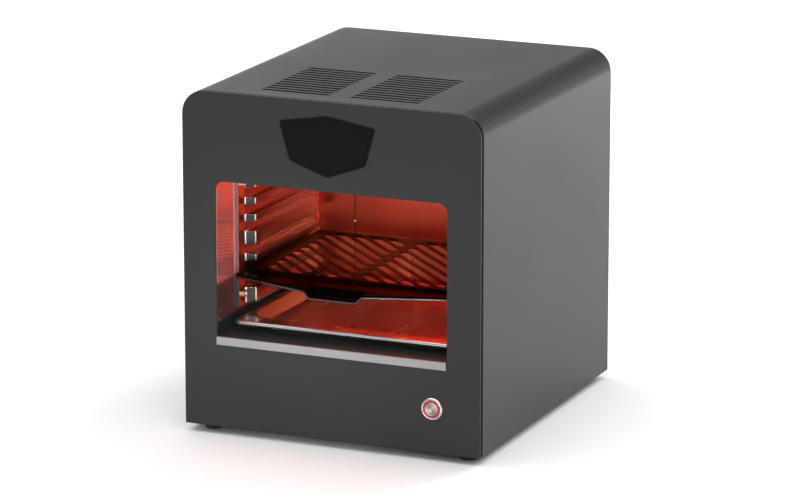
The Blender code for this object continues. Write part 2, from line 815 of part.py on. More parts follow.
def make_base(root, paint, rubber, screw_holes):
    """The base plate with its turned-up edges, and the push-in rubber feet."""
    half = BODY_WIDTH / 2 - SHELL_THICKNESS - SEAT_GAP
    front = PANEL_BACK_Y + SEAT_GAP
    fold = FRAME_FRONT_Y + FRAME_DEPTH + FOLD_RELIEF
    rear = SHELL_REAR_Y - SHELL_THICKNESS - SEAT_GAP
    side_end = rear - FOLD_RELIEF
    notch = SHELL_FRONT_Y + SHELL_THICKNESS + SEAT_GAP
    inner = half - FOLD_RELIEF
    low = BASE_BOTTOM
    top = low + BASE_EDGE
    rows = [[(x, y, low) for x in (-half, -inner, inner, half)] for y in (notch, fold, side_end, rear)]
    faces = strip_faces(rows)
    faces.append([(-inner, front, low), (inner, front, low), (inner, notch, low), (-inner, notch, low)])
    faces.append([(inner, rear, low), (inner, rear, top), (-inner, rear, top), (-inner, rear, low)])
    for side in (-half, half):
        edge = [(side, fold, low), (side, side_end, low), (side, side_end, top), (side, fold, top)]
        faces.append(edge if side < 0.0 else list(reversed(edge)))
    faces = flipped(faces)
    base = add(sheet("base_plate", faces, BASE_THICKNESS), paint, root)
    cuts = []
    for side in (-1.0, 1.0):
        for index in range(BASE_SLOT_COUNT):
            centre = (
                side * BASE_SLOTS_APART / 2,
                FRONT_Y + BASE_SLOTS_SETBACK + index * BASE_SLOT_PITCH,
                BASE_BOTTOM + BASE_THICKNESS / 2,
            )
            size = (BASE_SLOT_LENGTH, BASE_SLOT_WIDTH, BASE_THICKNESS + 2 * CUT_OVERRUN)
            cuts.append(box("base_slot", size, centre))
    for _, x, y in foot_places():
        cuts.append(
            prism(
                "foot_hole",
                circle(FOOT_STEM_RADIUS + FOOT_STEM_CLEARANCE, FOOT_STEPS, (x, y)),
                BASE_BOTTOM - CUT_OVERRUN,
                BASE_TOP + CUT_OVERRUN,
                "Z",
            )
        )
    boolean(base, helper("base_cutter", joined("base_cutter", cuts), root), "DIFFERENCE")
    boolean(base, screw_holes, "DIFFERENCE")

    seat = BASE_BOTTOM - SEAT_GAP
    barb = BASE_TOP + SEAT_GAP
    profile = [
        (0.0, barb + FOOT_BARB_HEIGHT),
        (FOOT_STEM_RADIUS, barb + FOOT_BARB_HEIGHT),
        (FOOT_BARB_RADIUS, barb),
        (FOOT_STEM_RADIUS, barb),
        (FOOT_STEM_RADIUS, seat),
        (FOOT_RADIUS, seat),
        (FOOT_RADIUS - FOOT_TAPER, -FOOT_HEIGHT + FOOT_BEVEL),
        (FOOT_RADIUS - FOOT_TAPER - FOOT_BEVEL, -FOOT_HEIGHT),
        (0.0, -FOOT_HEIGHT),
    ]
    mesh = turned("foot", profile, FOOT_STEPS)
    for name, x, y in foot_places():
        piece("foot_" + name, mesh, rubber, root, (x, y, 0.0))


def make_liner(root, steel, bright):
    """Floor with its folded lip, both side walls and the back wall of the cooking space."""
    half = WALL_X - SEAT_GAP
    lip_y = FRONT_Y - SEAT_GAP - FLOOR_THICKNESS
    floor_rows = [
        [(-half, lip_y, FLOOR_HEIGHT - LIP_HEIGHT), (half, lip_y, FLOOR_HEIGHT - LIP_HEIGHT)],
        [(-half, lip_y, FLOOR_HEIGHT), (half, lip_y, FLOOR_HEIGHT)],
        [(-half, LINER_REAR_Y, FLOOR_HEIGHT), (half, LINER_REAR_Y, FLOOR_HEIGHT)],
    ]
    add(sheet("cavity_floor", strip_faces(floor_rows), FLOOR_THICKNESS), steel, root)

    for name, side in (("left", -1.0), ("right", 1.0)):
        wall = side * WALL_X
        outer = side * (WALL_X + LINER_FLANGE)
        under = side * (WALL_X - LINER_BOTTOM_FLANGE)
        ys = [LINER_FRONT_Y, LINER_FRONT_Y + FOLD_RELIEF, LINER_REAR_Y]
        low = [(wall, y, LINER_BOTTOM) for y in ys]
        high = [(wall, y, LINER_TOP) for y in ys]
        faces = strip_faces([low, high])
        faces.append([
            (outer, LINER_FRONT_Y, LINER_BOTTOM),
            (wall, LINER_FRONT_Y, LINER_BOTTOM),
            (wall, LINER_FRONT_Y, LINER_TOP),
            (outer, LINER_FRONT_Y, LINER_TOP),
        ])
        faces.append([high[1], high[2], (outer, ys[2], LINER_TOP), (outer, ys[1], LINER_TOP)])
        faces.append([low[2], low[1], (under, ys[1], LINER_BOTTOM), (under, ys[2], LINER_BOTTOM)])
        if side > 0.0:
            faces = flipped(faces)
        wall_sheet = add(sheet("cavity_side_" + name, faces, LINER_THICKNESS), bright, root)
        holes = [
            prism(
                "rack_hole",
                circle(NUT_SHANK_RADIUS + SCREW_CLEARANCE, NUT_STEPS, place),
                wall - CUT_OVERRUN,
                wall + CUT_OVERRUN,
                "X",
            )
            for place in rack_nut_places()
        ]
        cutter = helper("rack_hole_cutter_" + name, joined("rack_hole_cutter", holes), root)
        boolean(wall_sheet, cutter, "DIFFERENCE")

    low = FLOOR_HEIGHT + SEAT_GAP
    high = LINER_TOP - SEAT_GAP
    back = BACK_WALL_Y + BACK_FLANGE
    ring = [(-half, low), (half, low), (half, high), (-half, high), (-half, low)]
    near_ring = [(x, BACK_WALL_Y, z) for x, z in ring]
    far_ring = [(x, back, z) for x, z in ring]
    faces = strip_faces([far_ring, near_ring]) + [near_ring[:-1]]
    wall_sheet = add(sheet("cavity_back", faces, LINER_THICKNESS), bright, root)
    holes = [
        prism(
            "element_hole",
            circle(BUSHING_NECK_RADIUS + SCREW_CLEARANCE, BUSHING_STEPS, (x, element_height())),
            BACK_WALL_Y - CUT_OVERRUN,
            BACK_WALL_Y + CUT_OVERRUN,
            "Y",
        )
        for x in (-element_side(), element_side())
    ]
    cutter = helper("element_hole_cutter", joined("element_hole_cutter", holes), root)
    boolean(wall_sheet, cutter, "DIFFERENCE")


def make_reflector(root, bright, wool, shield_steel):
    """The raised reflector, the mineral wool on it and the heat shield over both."""
    outer = WALL_X + LINER_FLANGE
    foot = WALL_X - SEAT_GAP - LINER_THICKNESS
    shoulder = foot - REFLECTOR_SLOPE
    high = REFLECTOR_Z + REFLECTOR_RISE
    front = LINER_FRONT_Y + REFLECTOR_SETBACK + FOLD_RELIEF
    apron = REFLECTOR_Z - REFLECTOR_APRON
    section = [
        (-outer, REFLECTOR_Z),
        (-foot, REFLECTOR_Z),
        (-shoulder, high),
        (shoulder, high),
        (foot, REFLECTOR_Z),
        (outer, REFLECTOR_Z),
    ]
    rows = [[(x, y, z) for x, z in section] for y in (front, LINER_REAR_Y)]
    faces = strip_faces(rows)
    faces.append([
        (foot, front, REFLECTOR_Z),
        (shoulder, front, high),
        (-shoulder, front, high),
        (-foot, front, REFLECTOR_Z),
        (-foot, front, apron),
        (foot, front, apron),
    ])
    faces.append([
        (-foot, LINER_REAR_Y, REFLECTOR_Z),
        (-shoulder, LINER_REAR_Y, high),
        (shoulder, LINER_REAR_Y, high),
        (foot, LINER_REAR_Y, REFLECTOR_Z),
    ])
    add(sheet("ceiling_reflector", flipped(faces), LINER_THICKNESS), bright, root)

    low = high + LINER_THICKNESS + SEAT_GAP
    half = shoulder - BLANKET_MARGIN
    blanket = box(
        "insulation_blanket",
        (2 * half, LINER_REAR_Y - front - 2 * BLANKET_MARGIN, BLANKET_THICKNESS),
        (0.0, (front + LINER_REAR_Y) / 2, low + BLANKET_THICKNESS / 2),
    )
    edge_bevel(piece("insulation_blanket", blanket, wool, root), BLANKET_BEVEL)

    roof = low + BLANKET_THICKNESS + SHIELD_HEADROOM
    side = outer - SHIELD_SIDE_INSET
    rest = REFLECTOR_Z + LINER_THICKNESS + SEAT_GAP
    near = front - LINER_THICKNESS - SEAT_GAP
    far = LINER_REAR_Y + LINER_THICKNESS + SEAT_GAP
    faces = [
        [(-side, near, roof), (side, near, roof), (side, far, roof), (-side, far, roof)],
        [(-side, near, rest), (side, near, rest), (side, near, roof), (-side, near, roof)],
        [(side, far, rest), (-side, far, rest), (-side, far, roof), (side, far, roof)],
        [(-side, far, rest), (-side, near, rest), (-side, near, roof), (-side, far, roof)],
        [(side, near, rest), (side, far, rest), (side, far, roof), (side, near, roof)],
    ]
    shield = sheet("heat_shield", faces, LINER_THICKNESS)
    shield.modifiers["Sheet"].offset = 1.0
    add(shield, shield_steel, root)


def rack_nut_places():
    y = RACK_FRONT_Y + RACK_NUT_FROM_FRONT
    low = FLOOR_HEIGHT + RACK_NUT_LOW
    return [(y, low), (y, FLOOR_HEIGHT + RACK_NUT_HIGH)]


def bead_outline(low, high, rise, wall):
    """A bead's outline at a height above the sheet, moved inwards by a wall."""
    share = rise / BEAD_RISE

    def inset(run):
        return run * share + wall * math.hypot(BEAD_RISE, run) / BEAD_RISE

    return rectangle(
        RACK_FRONT_Y + BEAD_FRONT_STRIP + inset(BEAD_FRONT_RAMP),
        RACK_REAR_Y - BEAD_REAR_STRIP - inset(BEAD_REAR_RAMP),
        low + inset(BEAD_DRAFT),
        high - inset(BEAD_DRAFT),
    )


def make_racks(root, steel, nut_steel):
    """Pressed side sheets, and the domed nuts that hold them.

    Each rail is an embossed bead with ramped ends. The pan's edge runs in the groove between two
    beads.
    """
    levels = bead_levels()
    top = levels[-1][1] + RACK_MARGIN
    wall = RACK_THICKNESS
    for name, side in (("left", -1.0), ("right", 1.0)):
        face = side * RACK_FACE
        back = side * (RACK_FACE + wall)
        turned_in = side * (RACK_FACE - RACK_FLANGE)
        section = [
            (turned_in, RACK_FRONT_Y),
            (back, RACK_FRONT_Y),
            (back, RACK_REAR_Y),
            (face, RACK_REAR_Y),
            (face, RACK_FRONT_Y + wall),
            (turned_in, RACK_FRONT_Y + wall),
        ]
        rack = piece("rack_" + name, prism("rack", section, RACK_BOTTOM, top, "Z"), steel, root)
        shapes = {}
        for kind, start, end, inset in (
            ("beads", -wall / 2, BEAD_RISE, 0.0),
            ("hollows", -wall - CUT_OVERRUN, BEAD_RISE - wall, wall),
        ):
            shapes[kind] = [
                prism(
                    kind,
                    bead_outline(low, high, start, inset),
                    side * (RACK_FACE - start),
                    side * (RACK_FACE - end),
                    "X",
                    bead_outline(low, high, end, inset),
                )
                for low, high in levels
            ]
        for place in rack_nut_places():
            outline = circle(NUT_SHANK_RADIUS + SCREW_CLEARANCE, NUT_STEPS, place)
            hole = prism("nut_hole", outline, face - CUT_OVERRUN, face + CUT_OVERRUN, "X")
            shapes["hollows"].append(hole)
        for kind, operation in (("beads", "UNION"), ("hollows", "DIFFERENCE")):
            cutter = helper(f"rack_{kind}_{name}", joined(kind, shapes[kind]), root)
            boolean(rack, cutter, operation)

    wall = RACK_THICKNESS + SEAT_GAP + LINER_THICKNESS
    overlap = NUT_HEIGHT / 2
    crown = arc((0.0, NUT_HEIGHT), NUT_DOME_RADIUS, 90.0, 0.0, NUT_DOME_STEPS)
    profile = crown + [(NUT_DOME_RADIUS, NUT_HEIGHT - overlap), (0.0, NUT_HEIGHT - overlap)]
    nut = fused(
        "rack_nut",
        [
            prism("nut_hex", hexagon(NUT_ACROSS_FLATS), SEAT_GAP, NUT_HEIGHT, "Z"),
            turned("nut_crown", profile, NUT_STEPS),
            prism(
                "nut_shank",
                circle(NUT_SHANK_RADIUS, NUT_STEPS),
                -wall - NUT_SHANK_PAST_WALL,
                NUT_HEIGHT - overlap,
                "Z",
            ),
        ],
    )
    for name, side in (("left", -1.0), ("right", 1.0)):
        for level, (y, z) in zip(("lower", "upper"), rack_nut_places()):
            shape = piece(f"rack_nut_{name}_{level}", nut, nut_steel, root, (side * RACK_FACE, y, z))
            shape.rotation_euler = (0.0, -side * math.pi / 2, 0.0)


def element_height():
    return LINER_TOP - ELEMENT_DROP


def element_side():
    return ELEMENT_PITCH * (ELEMENT_LEG_COUNT - 1) / 2


def element_route():
    """The bent tube's centre line, from the left cold end to the right one."""
    front = FRONT_Y + ELEMENT_FRONT_BEND
    rear = BACK_WALL_Y - ELEMENT_REAR_BEND
    end = BACK_WALL_Y + ELEMENT_COLD_END
    radius = ELEMENT_PITCH / 2
    points = [(-element_side(), end)]
    for bend in range(ELEMENT_LEG_COUNT - 1):
        middle = -element_side() + ELEMENT_PITCH * bend + radius
        if bend % 2 == 0:
            points += arc((middle, front), radius, 180.0, 360.0, ELEMENT_BEND_STEPS)
        else:
            points += arc((middle, rear), radius, 180.0, 0.0, ELEMENT_BEND_STEPS)
    points.append((element_side(), end))
    return [Vector((x, y, element_height())) for x, y in points]


def tube(name, points, radius, resolution):
    """A round rod or wire along a line of points, with closed ends."""
    curve = bpy.data.curves.new(name, "CURVE")
    curve.dimensions = "3D"
    curve.bevel_depth = radius
    curve.bevel_resolution = resolution
    curve.use_fill_caps = True
    line = curve.splines.new("POLY")
    line.points.add(len(points) - 1)
    for target, point in zip(line.points, points):
        target.co = (*point, 1.0)
    return bpy.data.objects.new(name, curve)


def make_element(root, hot, ceramic, steel):
    """The sheathed element, the two combs that carry it and the bushings in the back wall."""
    element = tube("heating_element", element_route(), ELEMENT_RADIUS, ELEMENT_RING_STEPS)
    add(element, hot, root)

    low = element_height() - COMB_BELOW_TUBE - ELEMENT_RADIUS
    high = low + COMB_HEIGHT
    half = WALL_X - SEAT_GAP
    slot = ELEMENT_RADIUS + SEAT_GAP
    for name, setback, turn in (("front", COMB_FRONT, 1.0), ("rear", COMB_REAR, -1.0)):
        y = FRONT_Y + setback
        tab = y + turn * COMB_TAB
        faces = [
            [(-half, y, low), (half, y, low), (half, y, high), (-half, y, high)],
            [(-half, tab, low), (-half, y, low), (-half, y, high), (-half, tab, high)],
            [(half, y, low), (half, tab, low), (half, tab, high), (half, y, high)],
        ]
        if turn < 0.0:
            faces = flipped(faces)
        comb = add(sheet("element_comb_" + name, faces, COMB_THICKNESS), steel, root)
        cuts = []
        for leg in range(ELEMENT_LEG_COUNT):
            x = -element_side() + ELEMENT_PITCH * leg
            outline = arc((x, element_height()), slot, 180.0, 360.0, COMB_SLOT_STEPS)
            outline += [(x + slot, high + CUT_OVERRUN), (x - slot, high + CUT_OVERRUN)]
            cuts.append(prism("comb_slot", outline, y - CUT_OVERRUN, y + CUT_OVERRUN, "Y"))
        boolean(comb, helper("comb_cutter_" + name, joined("comb_cutter", cuts), root), "DIFFERENCE")

    seat = LINER_THICKNESS + SEAT_GAP
    bore = ELEMENT_RADIUS + SEAT_GAP
    profile = [
        (bore, seat - BUSHING_NECK),
        (BUSHING_NECK_RADIUS, seat - BUSHING_NECK),
        (BUSHING_NECK_RADIUS, seat),
        (BUSHING_RADIUS, seat),
        (BUSHING_RADIUS, seat + BUSHING_HEAD),
        (bore, seat + BUSHING_HEAD),
    ]
    mesh = turned("element_bushing", profile, BUSHING_STEPS, "Y", closed=True)
    for name, side in (("left", -1.0), ("right", 1.0)):
        place = (side * element_side(), BACK_WALL_Y, element_height())
        piece("element_bushing_" + name, mesh, ceramic, root, place)


def pan_height():
    return bead_levels()[PAN_GROOVE_COUNT][1] + SEAT_GAP + PAN_SKIRT


def clipped(outline, axis, limit, keep_above):
    """An outline cut off along one axis at a limit."""
    result = []
    sign = 1.0 if keep_above else -1.0
    for first, second in zip(outline, outline[1:] + outline[:1]):
        inside = sign * (first[axis] - limit) >= 0.0
        next_inside = sign * (second[axis] - limit) >= 0.0
        if inside:
            result.append(first)
        if inside != next_inside:
            share = (limit - first[axis]) / (second[axis] - first[axis])
            result.append(tuple(a + (b - a) * share for a, b in zip(first, second)))
    return result


def grate_slots(left, right, front, rear):
    """Diagonal slots with round ends at the sides, cut straight at the front and rear borders."""
    pitch = (GRATE_BAR + GRATE_SLOT) * math.sqrt(2.0)
    radius = GRATE_SLOT / 2
    run = right - left - GRATE_SLOT
    start_x = left + radius
    end_x = right - radius
    outlines = []
    count = math.ceil((rear - front + run) / pitch)
    for index in range(count):
        start_y = front + pitch * (index + 1)
        end_y = start_y - run
        outline = arc((start_x, start_y), radius, 45.0, 225.0, GRATE_SLOT_END_STEPS)
        outline += arc((end_x, end_y), radius, 225.0, 405.0, GRATE_SLOT_END_STEPS)
        outline = clipped(outline, 1, front, True)
        if len(outline) > 2:
            outline = clipped(outline, 1, rear, False)
        if len(outline) < 3:
            continue
        ys = [y for _, y in outline]
        if max(ys) - min(ys) > GRATE_LEAST_SLOT:
            outlines.append(outline)
    return outlines


def make_pan(root, enamel):
    """The slotted grill pan with its pointed apron and the stepped tab for a lifting handle."""
    z = pan_height()
    half = PAN_WIDTH / 2
    rear = BACK_WALL_Y - PAN_REAR_GAP
    corner = FRONT_Y + PAN_CORNER_SETBACK
    nose = FRONT_Y + PAN_NOSE_SETBACK
    nose_half = PAN_NOSE_WIDTH / 2
    root_y = FRONT_Y + TAB_ROOT_SETBACK
    tab_half = TAB_WIDTH / 2
    tab_y = FRONT_Y + TAB_SETBACK
    tab_z = z - TAB_DROP
    tab_root = root_y - TAB_SLOPE
    grate_half = GRATE_WIDTH / 2
    grate_front = FRONT_Y + GRATE_SETBACK
    grate_rear = rear - GRATE_REAR_MARGIN
    raised_half = grate_half - GRATE_SHOULDER
    raised_front = grate_front + GRATE_SHOULDER
    raised_rear = grate_rear - GRATE_SHOULDER
    raised = z + GRATE_RISE

    a = (-grate_half, grate_front, z)
    b = (grate_half, grate_front, z)
    c = (grate_half, grate_rear, z)
    d = (-grate_half, grate_rear, z)
    a_up = (-raised_half, raised_front, raised)
    b_up = (raised_half, raised_front, raised)
    c_up = (raised_half, raised_rear, raised)
    d_up = (-raised_half, raised_rear, raised)
    rear_left = (-half, rear, z)
    rear_right = (half, rear, z)
    left_corner = (-half, corner, z)
    right_corner = (half, corner, z)
    nose_left = (-nose_half, nose, z)
    nose_right = (nose_half, nose, z)
    root_left = (-nose_half, root_y, z)
    root_right = (nose_half, root_y, z)
    tab_left = (-tab_half, tab_y, tab_z)
    tab_right = (tab_half, tab_y, tab_z)
    low_left = (-tab_half, tab_root, tab_z)
    low_right = (tab_half, tab_root, tab_z)
    faces = [
        [left_corner, nose_left, root_left, a],
        [root_left, root_right, b, a],
        [nose_right, right_corner, b, root_right],
        [left_corner, a, d, rear_left],
        [right_corner, rear_right, c, b],
        [rear_left, d, c, rear_right],
        [a, b, b_up, a_up],
        [b, c, c_up, b_up],
        [c, d, d_up, c_up],
        [d, a, a_up, d_up],
        [a_up, b_up, c_up, d_up],
        [nose_left, tab_left, low_left, root_left],
        [low_left, low_right, root_right, root_left],
        [tab_right, nose_right, root_right, low_right],
        [tab_left, tab_right, low_right, low_left],
    ]
    rim = [rear_left, left_corner, nose_left, tab_left]
    rim += [tab_right, nose_right, right_corner, rear_right, rear_left]
    down = [(x, y, height - PAN_SKIRT) for x, y, height in rim]
    faces += strip_faces([down, rim])

    anchor = Vector((0.0, tab_y, tab_z))
    faces = [[tuple(Vector(point) - anchor) for point in face] for face in faces]
    pan = add(sheet("grill_pan", faces, PAN_THICKNESS), enamel, root, anchor)

    border = GRATE_BORDER
    low = z - CUT_OVERRUN
    high = raised + CUT_OVERRUN
    cuts = []
    for left, right in (
        (-raised_half + border, -GRATE_SPINE / 2),
        (GRATE_SPINE / 2, raised_half - border),
    ):
        for outline in grate_slots(left, right, raised_front + border, raised_rear - border):
            cuts.append(prism("grate_slot", outline, low, high, "Z"))
    slot = box(
        "tab_slot",
        (TAB_SLOT_LENGTH, TAB_SLOT_WIDTH, 2 * CUT_OVERRUN),
        (TAB_SLOT_OFFSET, FRONT_Y + TAB_SLOT_SETBACK, tab_z),
    )
    cuts.append(slot)
    boolean(pan, helper("grate_cutter", joined("grate_cutter", cuts), root), "DIFFERENCE")


def rounded_loop(half_x, front, rear, radius, z):
    """A rounded rectangle's points, round the tray's middle."""
    points = []
    corners = (
        ((half_x - radius, rear - radius), 0.0),
        ((-half_x + radius, rear - radius), 90.0),
        ((-half_x + radius, front + radius), 180.0),
        ((half_x - radius, front + radius), 270.0),
    )
    for centre, start in corners:
        points += [(x, y, z) for x, y in arc(centre, radius, start, start + 90.0, TRAY_CORNER_STEPS)]
    return points


def make_tray(root, steel):
    """The shallow pressed drip tray with its flat rim, wider at the front, and turned-down edge."""
    front = FRONT_Y + TRAY_SETBACK
    rear = BACK_WALL_Y - TRAY_REAR_GAP
    half = TRAY_WIDTH / 2
    rim_z = FLOOR_HEIGHT + SEAT_GAP + TRAY_HEIGHT
    floor_z = FLOOR_HEIGHT + SEAT_GAP + TRAY_THICKNESS
    well_front = front + TRAY_FRONT_RIM
    well_rear = rear - TRAY_RIM
    well_half = half - TRAY_RIM
    slope = TRAY_WALL_SLOPE
    loops = [
        rounded_loop(half, front, rear, TRAY_CORNER_RADIUS, rim_z - TRAY_RIM_TURN),
        rounded_loop(half, front, rear, TRAY_CORNER_RADIUS, rim_z),
        rounded_loop(well_half, well_front, well_rear, TRAY_WELL_RADIUS, rim_z),
        rounded_loop(
            well_half - slope,
            well_front + slope,
            well_rear - slope,
            TRAY_WELL_RADIUS - slope,
            floor_z,
        ),
    ]
    anchor = Vector((0.0, front, FLOOR_HEIGHT + SEAT_GAP))
    loops = [[tuple(Vector(point) - anchor) for point in loop] for loop in loops]
    rows = [loop + loop[:1] for loop in loops]
    faces = strip_faces(rows)
    faces.append(loops[-1])
    add(sheet("drip_tray", faces, TRAY_THICKNESS), steel, root, anchor)


def support_web():
    return WALL_X - SUPPORT_INSET


def support_hole_places():
    """Centres of the round holes in each stand, from the front."""
    middle = FRONT_Y + SUPPORT_SETBACK + SUPPORT_LENGTH / 2
    height = (BASE_TOP + LINER_BOTTOM - LINER_THICKNESS) / 2
    places = []
    for index in range(SUPPORT_HOLE_COUNT):
        places.append((middle + SUPPORT_HOLE_PITCH * (index - (SUPPORT_HOLE_COUNT - 1) / 2), height))
    return places


def make_supports(root, steel):
    """Folded stands that carry the cooking space from the base plate."""
    top = LINER_BOTTOM - LINER_THICKNESS - SEAT_GAP
    bottom = BASE_TOP + SEAT_GAP
    front = FRONT_Y + SUPPORT_SETBACK
    rear = front + SUPPORT_LENGTH
    for name, side in (("left", -1.0), ("right", 1.0)):
        web = side * support_web()
        upper = web + side * SUPPORT_FLANGE
        lower = web + side * SUPPORT_FLANGE
        section = [(lower, bottom), (web, bottom), (web, top), (upper, top)]
        rows = [[(x, y, z) for x, z in section] for y in (front, rear)]
        faces = strip_faces(rows)
        if side > 0.0:
            faces = flipped(faces)
        stand = sheet("floor_support_" + name, faces, SUPPORT_THICKNESS)
        stand.modifiers["Sheet"].offset = 1.0
        stand = add(stand, steel, root)
        holes = []
        for place in support_hole_places():
            outline = circle(SUPPORT_HOLE_RADIUS, SUPPORT_HOLE_STEPS, place)
            holes.append(prism("support_hole", outline, web - CUT_OVERRUN, web + CUT_OVERRUN, "X"))
        cutter = helper("support_cutter_" + name, joined("support_cutter", holes), root)
        boolean(stand, cutter, "DIFFERENCE")


def make_switch(root, steel, red_lens, black, spring_steel):
    """The push switch: metal body through the panel, lit ring, sprung cap, nut and insert."""
    centre = Vector((SWITCH_X, FRONT_Y, SWITCH_HEIGHT))
    face = -BEZEL_RISE - SEAT_GAP
    ring_seat = face + RING_SEAT_DEPTH
    cap_bore = CAP_RADIUS + SLIDE_CLEARANCE
    shoulder = ring_seat + CAP_THICKNESS + SPRING_ROOM
    stem_bore = CAP_STEM_RADIUS + SLIDE_CLEARANCE
    shoulder_back = shoulder + SHOULDER_THICKNESS
    inner = BARREL_RADIUS - BARREL_WALL
    profile = [
        (BEZEL_RADIUS - BEZEL_EDGE, face),
        (BEZEL_RADIUS, face + BEZEL_EDGE),
        (BEZEL_RADIUS, -SEAT_GAP),
        (BARREL_RADIUS, -SEAT_GAP),
        (BARREL_RADIUS, BARREL_LENGTH),
        (inner, BARREL_LENGTH),
        (inner, shoulder_back),
        (stem_bore, shoulder_back),
        (stem_bore, shoulder),
        (cap_bore, shoulder),
        (cap_bore, ring_seat),
        (RING_RADIUS + SEAT_GAP, ring_seat),
        (RING_RADIUS + SEAT_GAP, face),
    ]
    body = turned("switch_body", profile, SWITCH_STEPS, "Y", closed=True)
    piece("switch_body", body, steel, root, centre)

    profile = [
        (cap_bore, face - RING_PROUD),
        (RING_RADIUS, face - RING_PROUD),
        (RING_RADIUS, ring_seat - SEAT_GAP),
        (cap_bore, ring_seat - SEAT_GAP),
    ]
    ring = turned("button_light_ring", profile, SWITCH_STEPS, "Y", closed=True)
    piece("button_light_ring", ring, red_lens, root, centre)

    cap_face = face - RING_PROUD
    cap_back = ring_seat + CAP_THICKNESS
    stem_end = shoulder_back + BUTTON_TRAVEL
    dish = CAP_RADIUS / 2
    profile = [
        (0.0, cap_face + CAP_DISH_DEPTH),
        (dish, cap_face + CAP_DISH_DEPTH / 2),
        (CAP_RADIUS - CAP_DISH_DEPTH / 2, cap_face),
        (CAP_RADIUS, cap_face + CAP_DISH_DEPTH / 2),
        (CAP_RADIUS, cap_back),
        (CAP_STEM_RADIUS, cap_back),
        (CAP_STEM_RADIUS, stem_end),
        (0.0, stem_end),
    ]
    profile = [(radius, along - cap_face) for radius, along in profile]
    place = centre + Vector((0.0, cap_face, 0.0))
    piece("button_cap", turned("button_cap", profile, SWITCH_STEPS, "Y"), steel, root, place)

    wire = SPRING_WIRE_RADIUS
    start = cap_back + wire + SEAT_GAP
    length = shoulder - cap_back - 2 * (wire + SEAT_GAP)
    pressed_gap = (length - BUTTON_TRAVEL) / SPRING_TURN_COUNT - 2 * wire
    print(f"Least gap between the spring's turns, pressed: {pressed_gap:.5f} m")
    points = []
    for index in range(SPRING_TURN_COUNT * SPRING_STEPS + 1):
        angle = math.tau * index / SPRING_STEPS
        along = start + length * index / (SPRING_TURN_COUNT * SPRING_STEPS)
        points.append(Vector((SPRING_RADIUS * math.cos(angle), along, SPRING_RADIUS * math.sin(angle))))
    add(tube("button_spring", points, wire, SPRING_RING_STEPS), spring_steel, root, centre)

    back = FRONT_PANEL_THICKNESS + SEAT_GAP
    nut = piece(
        "switch_nut",
        prism("switch_nut", hexagon(SWITCH_NUT_FLATS), back, back + SWITCH_NUT_HEIGHT, "Y"),
        steel,
        root,
        centre,
    )
    bore = prism(
        "switch_nut_cutter",
        circle(BARREL_RADIUS + SLIDE_CLEARANCE, SWITCH_STEPS),
        back - CUT_OVERRUN,
        back + SWITCH_NUT_HEIGHT + CUT_OVERRUN,
        "Y",
    )
    boolean(nut, helper("switch_nut_cutter", bore, root, centre), "DIFFERENCE")

    end = BARREL_LENGTH + SWITCH_INSERT_PAST
    parts = [
        prism(
            "insert_body",
            circle(inner - SEAT_GAP, SWITCH_STEPS),
            end - SWITCH_INSERT_LENGTH,
            end,
            "Y",
        )
    ]
    for x, z in ((-1.0, 1.0), (1.0, 1.0), (-1.0, -1.0), (1.0, -1.0), (0.0, 0.0)):
        size = (SWITCH_LUG_THICKNESS, 2 * SWITCH_LUG_LENGTH, SWITCH_LUG_WIDTH)
        spot = (x * SWITCH_LUG_SPREAD, end, z * SWITCH_LUG_SPREAD)
        parts.append(box("insert_lug", size, spot))
    piece("switch_insert", fused("switch_insert", parts), black, root, centre)


def make_badge(root, black):
    """The plain six-sided plate above the window."""
    half = BADGE_WIDTH / 2
    outline = [
        (BADGE_OFFSET + half * across, BADGE_TIP_HEIGHT + BADGE_HEIGHT * up)
        for across, up in BADGE_OUTLINE_SHARES
    ]
    back = FRONT_Y - SEAT_GAP
    plate = prism("badge_plate", outline, back - BADGE_THICKNESS, back, "Y")
    edge_bevel(piece("badge_plate", plate, black, root), BADGE_BEVEL)


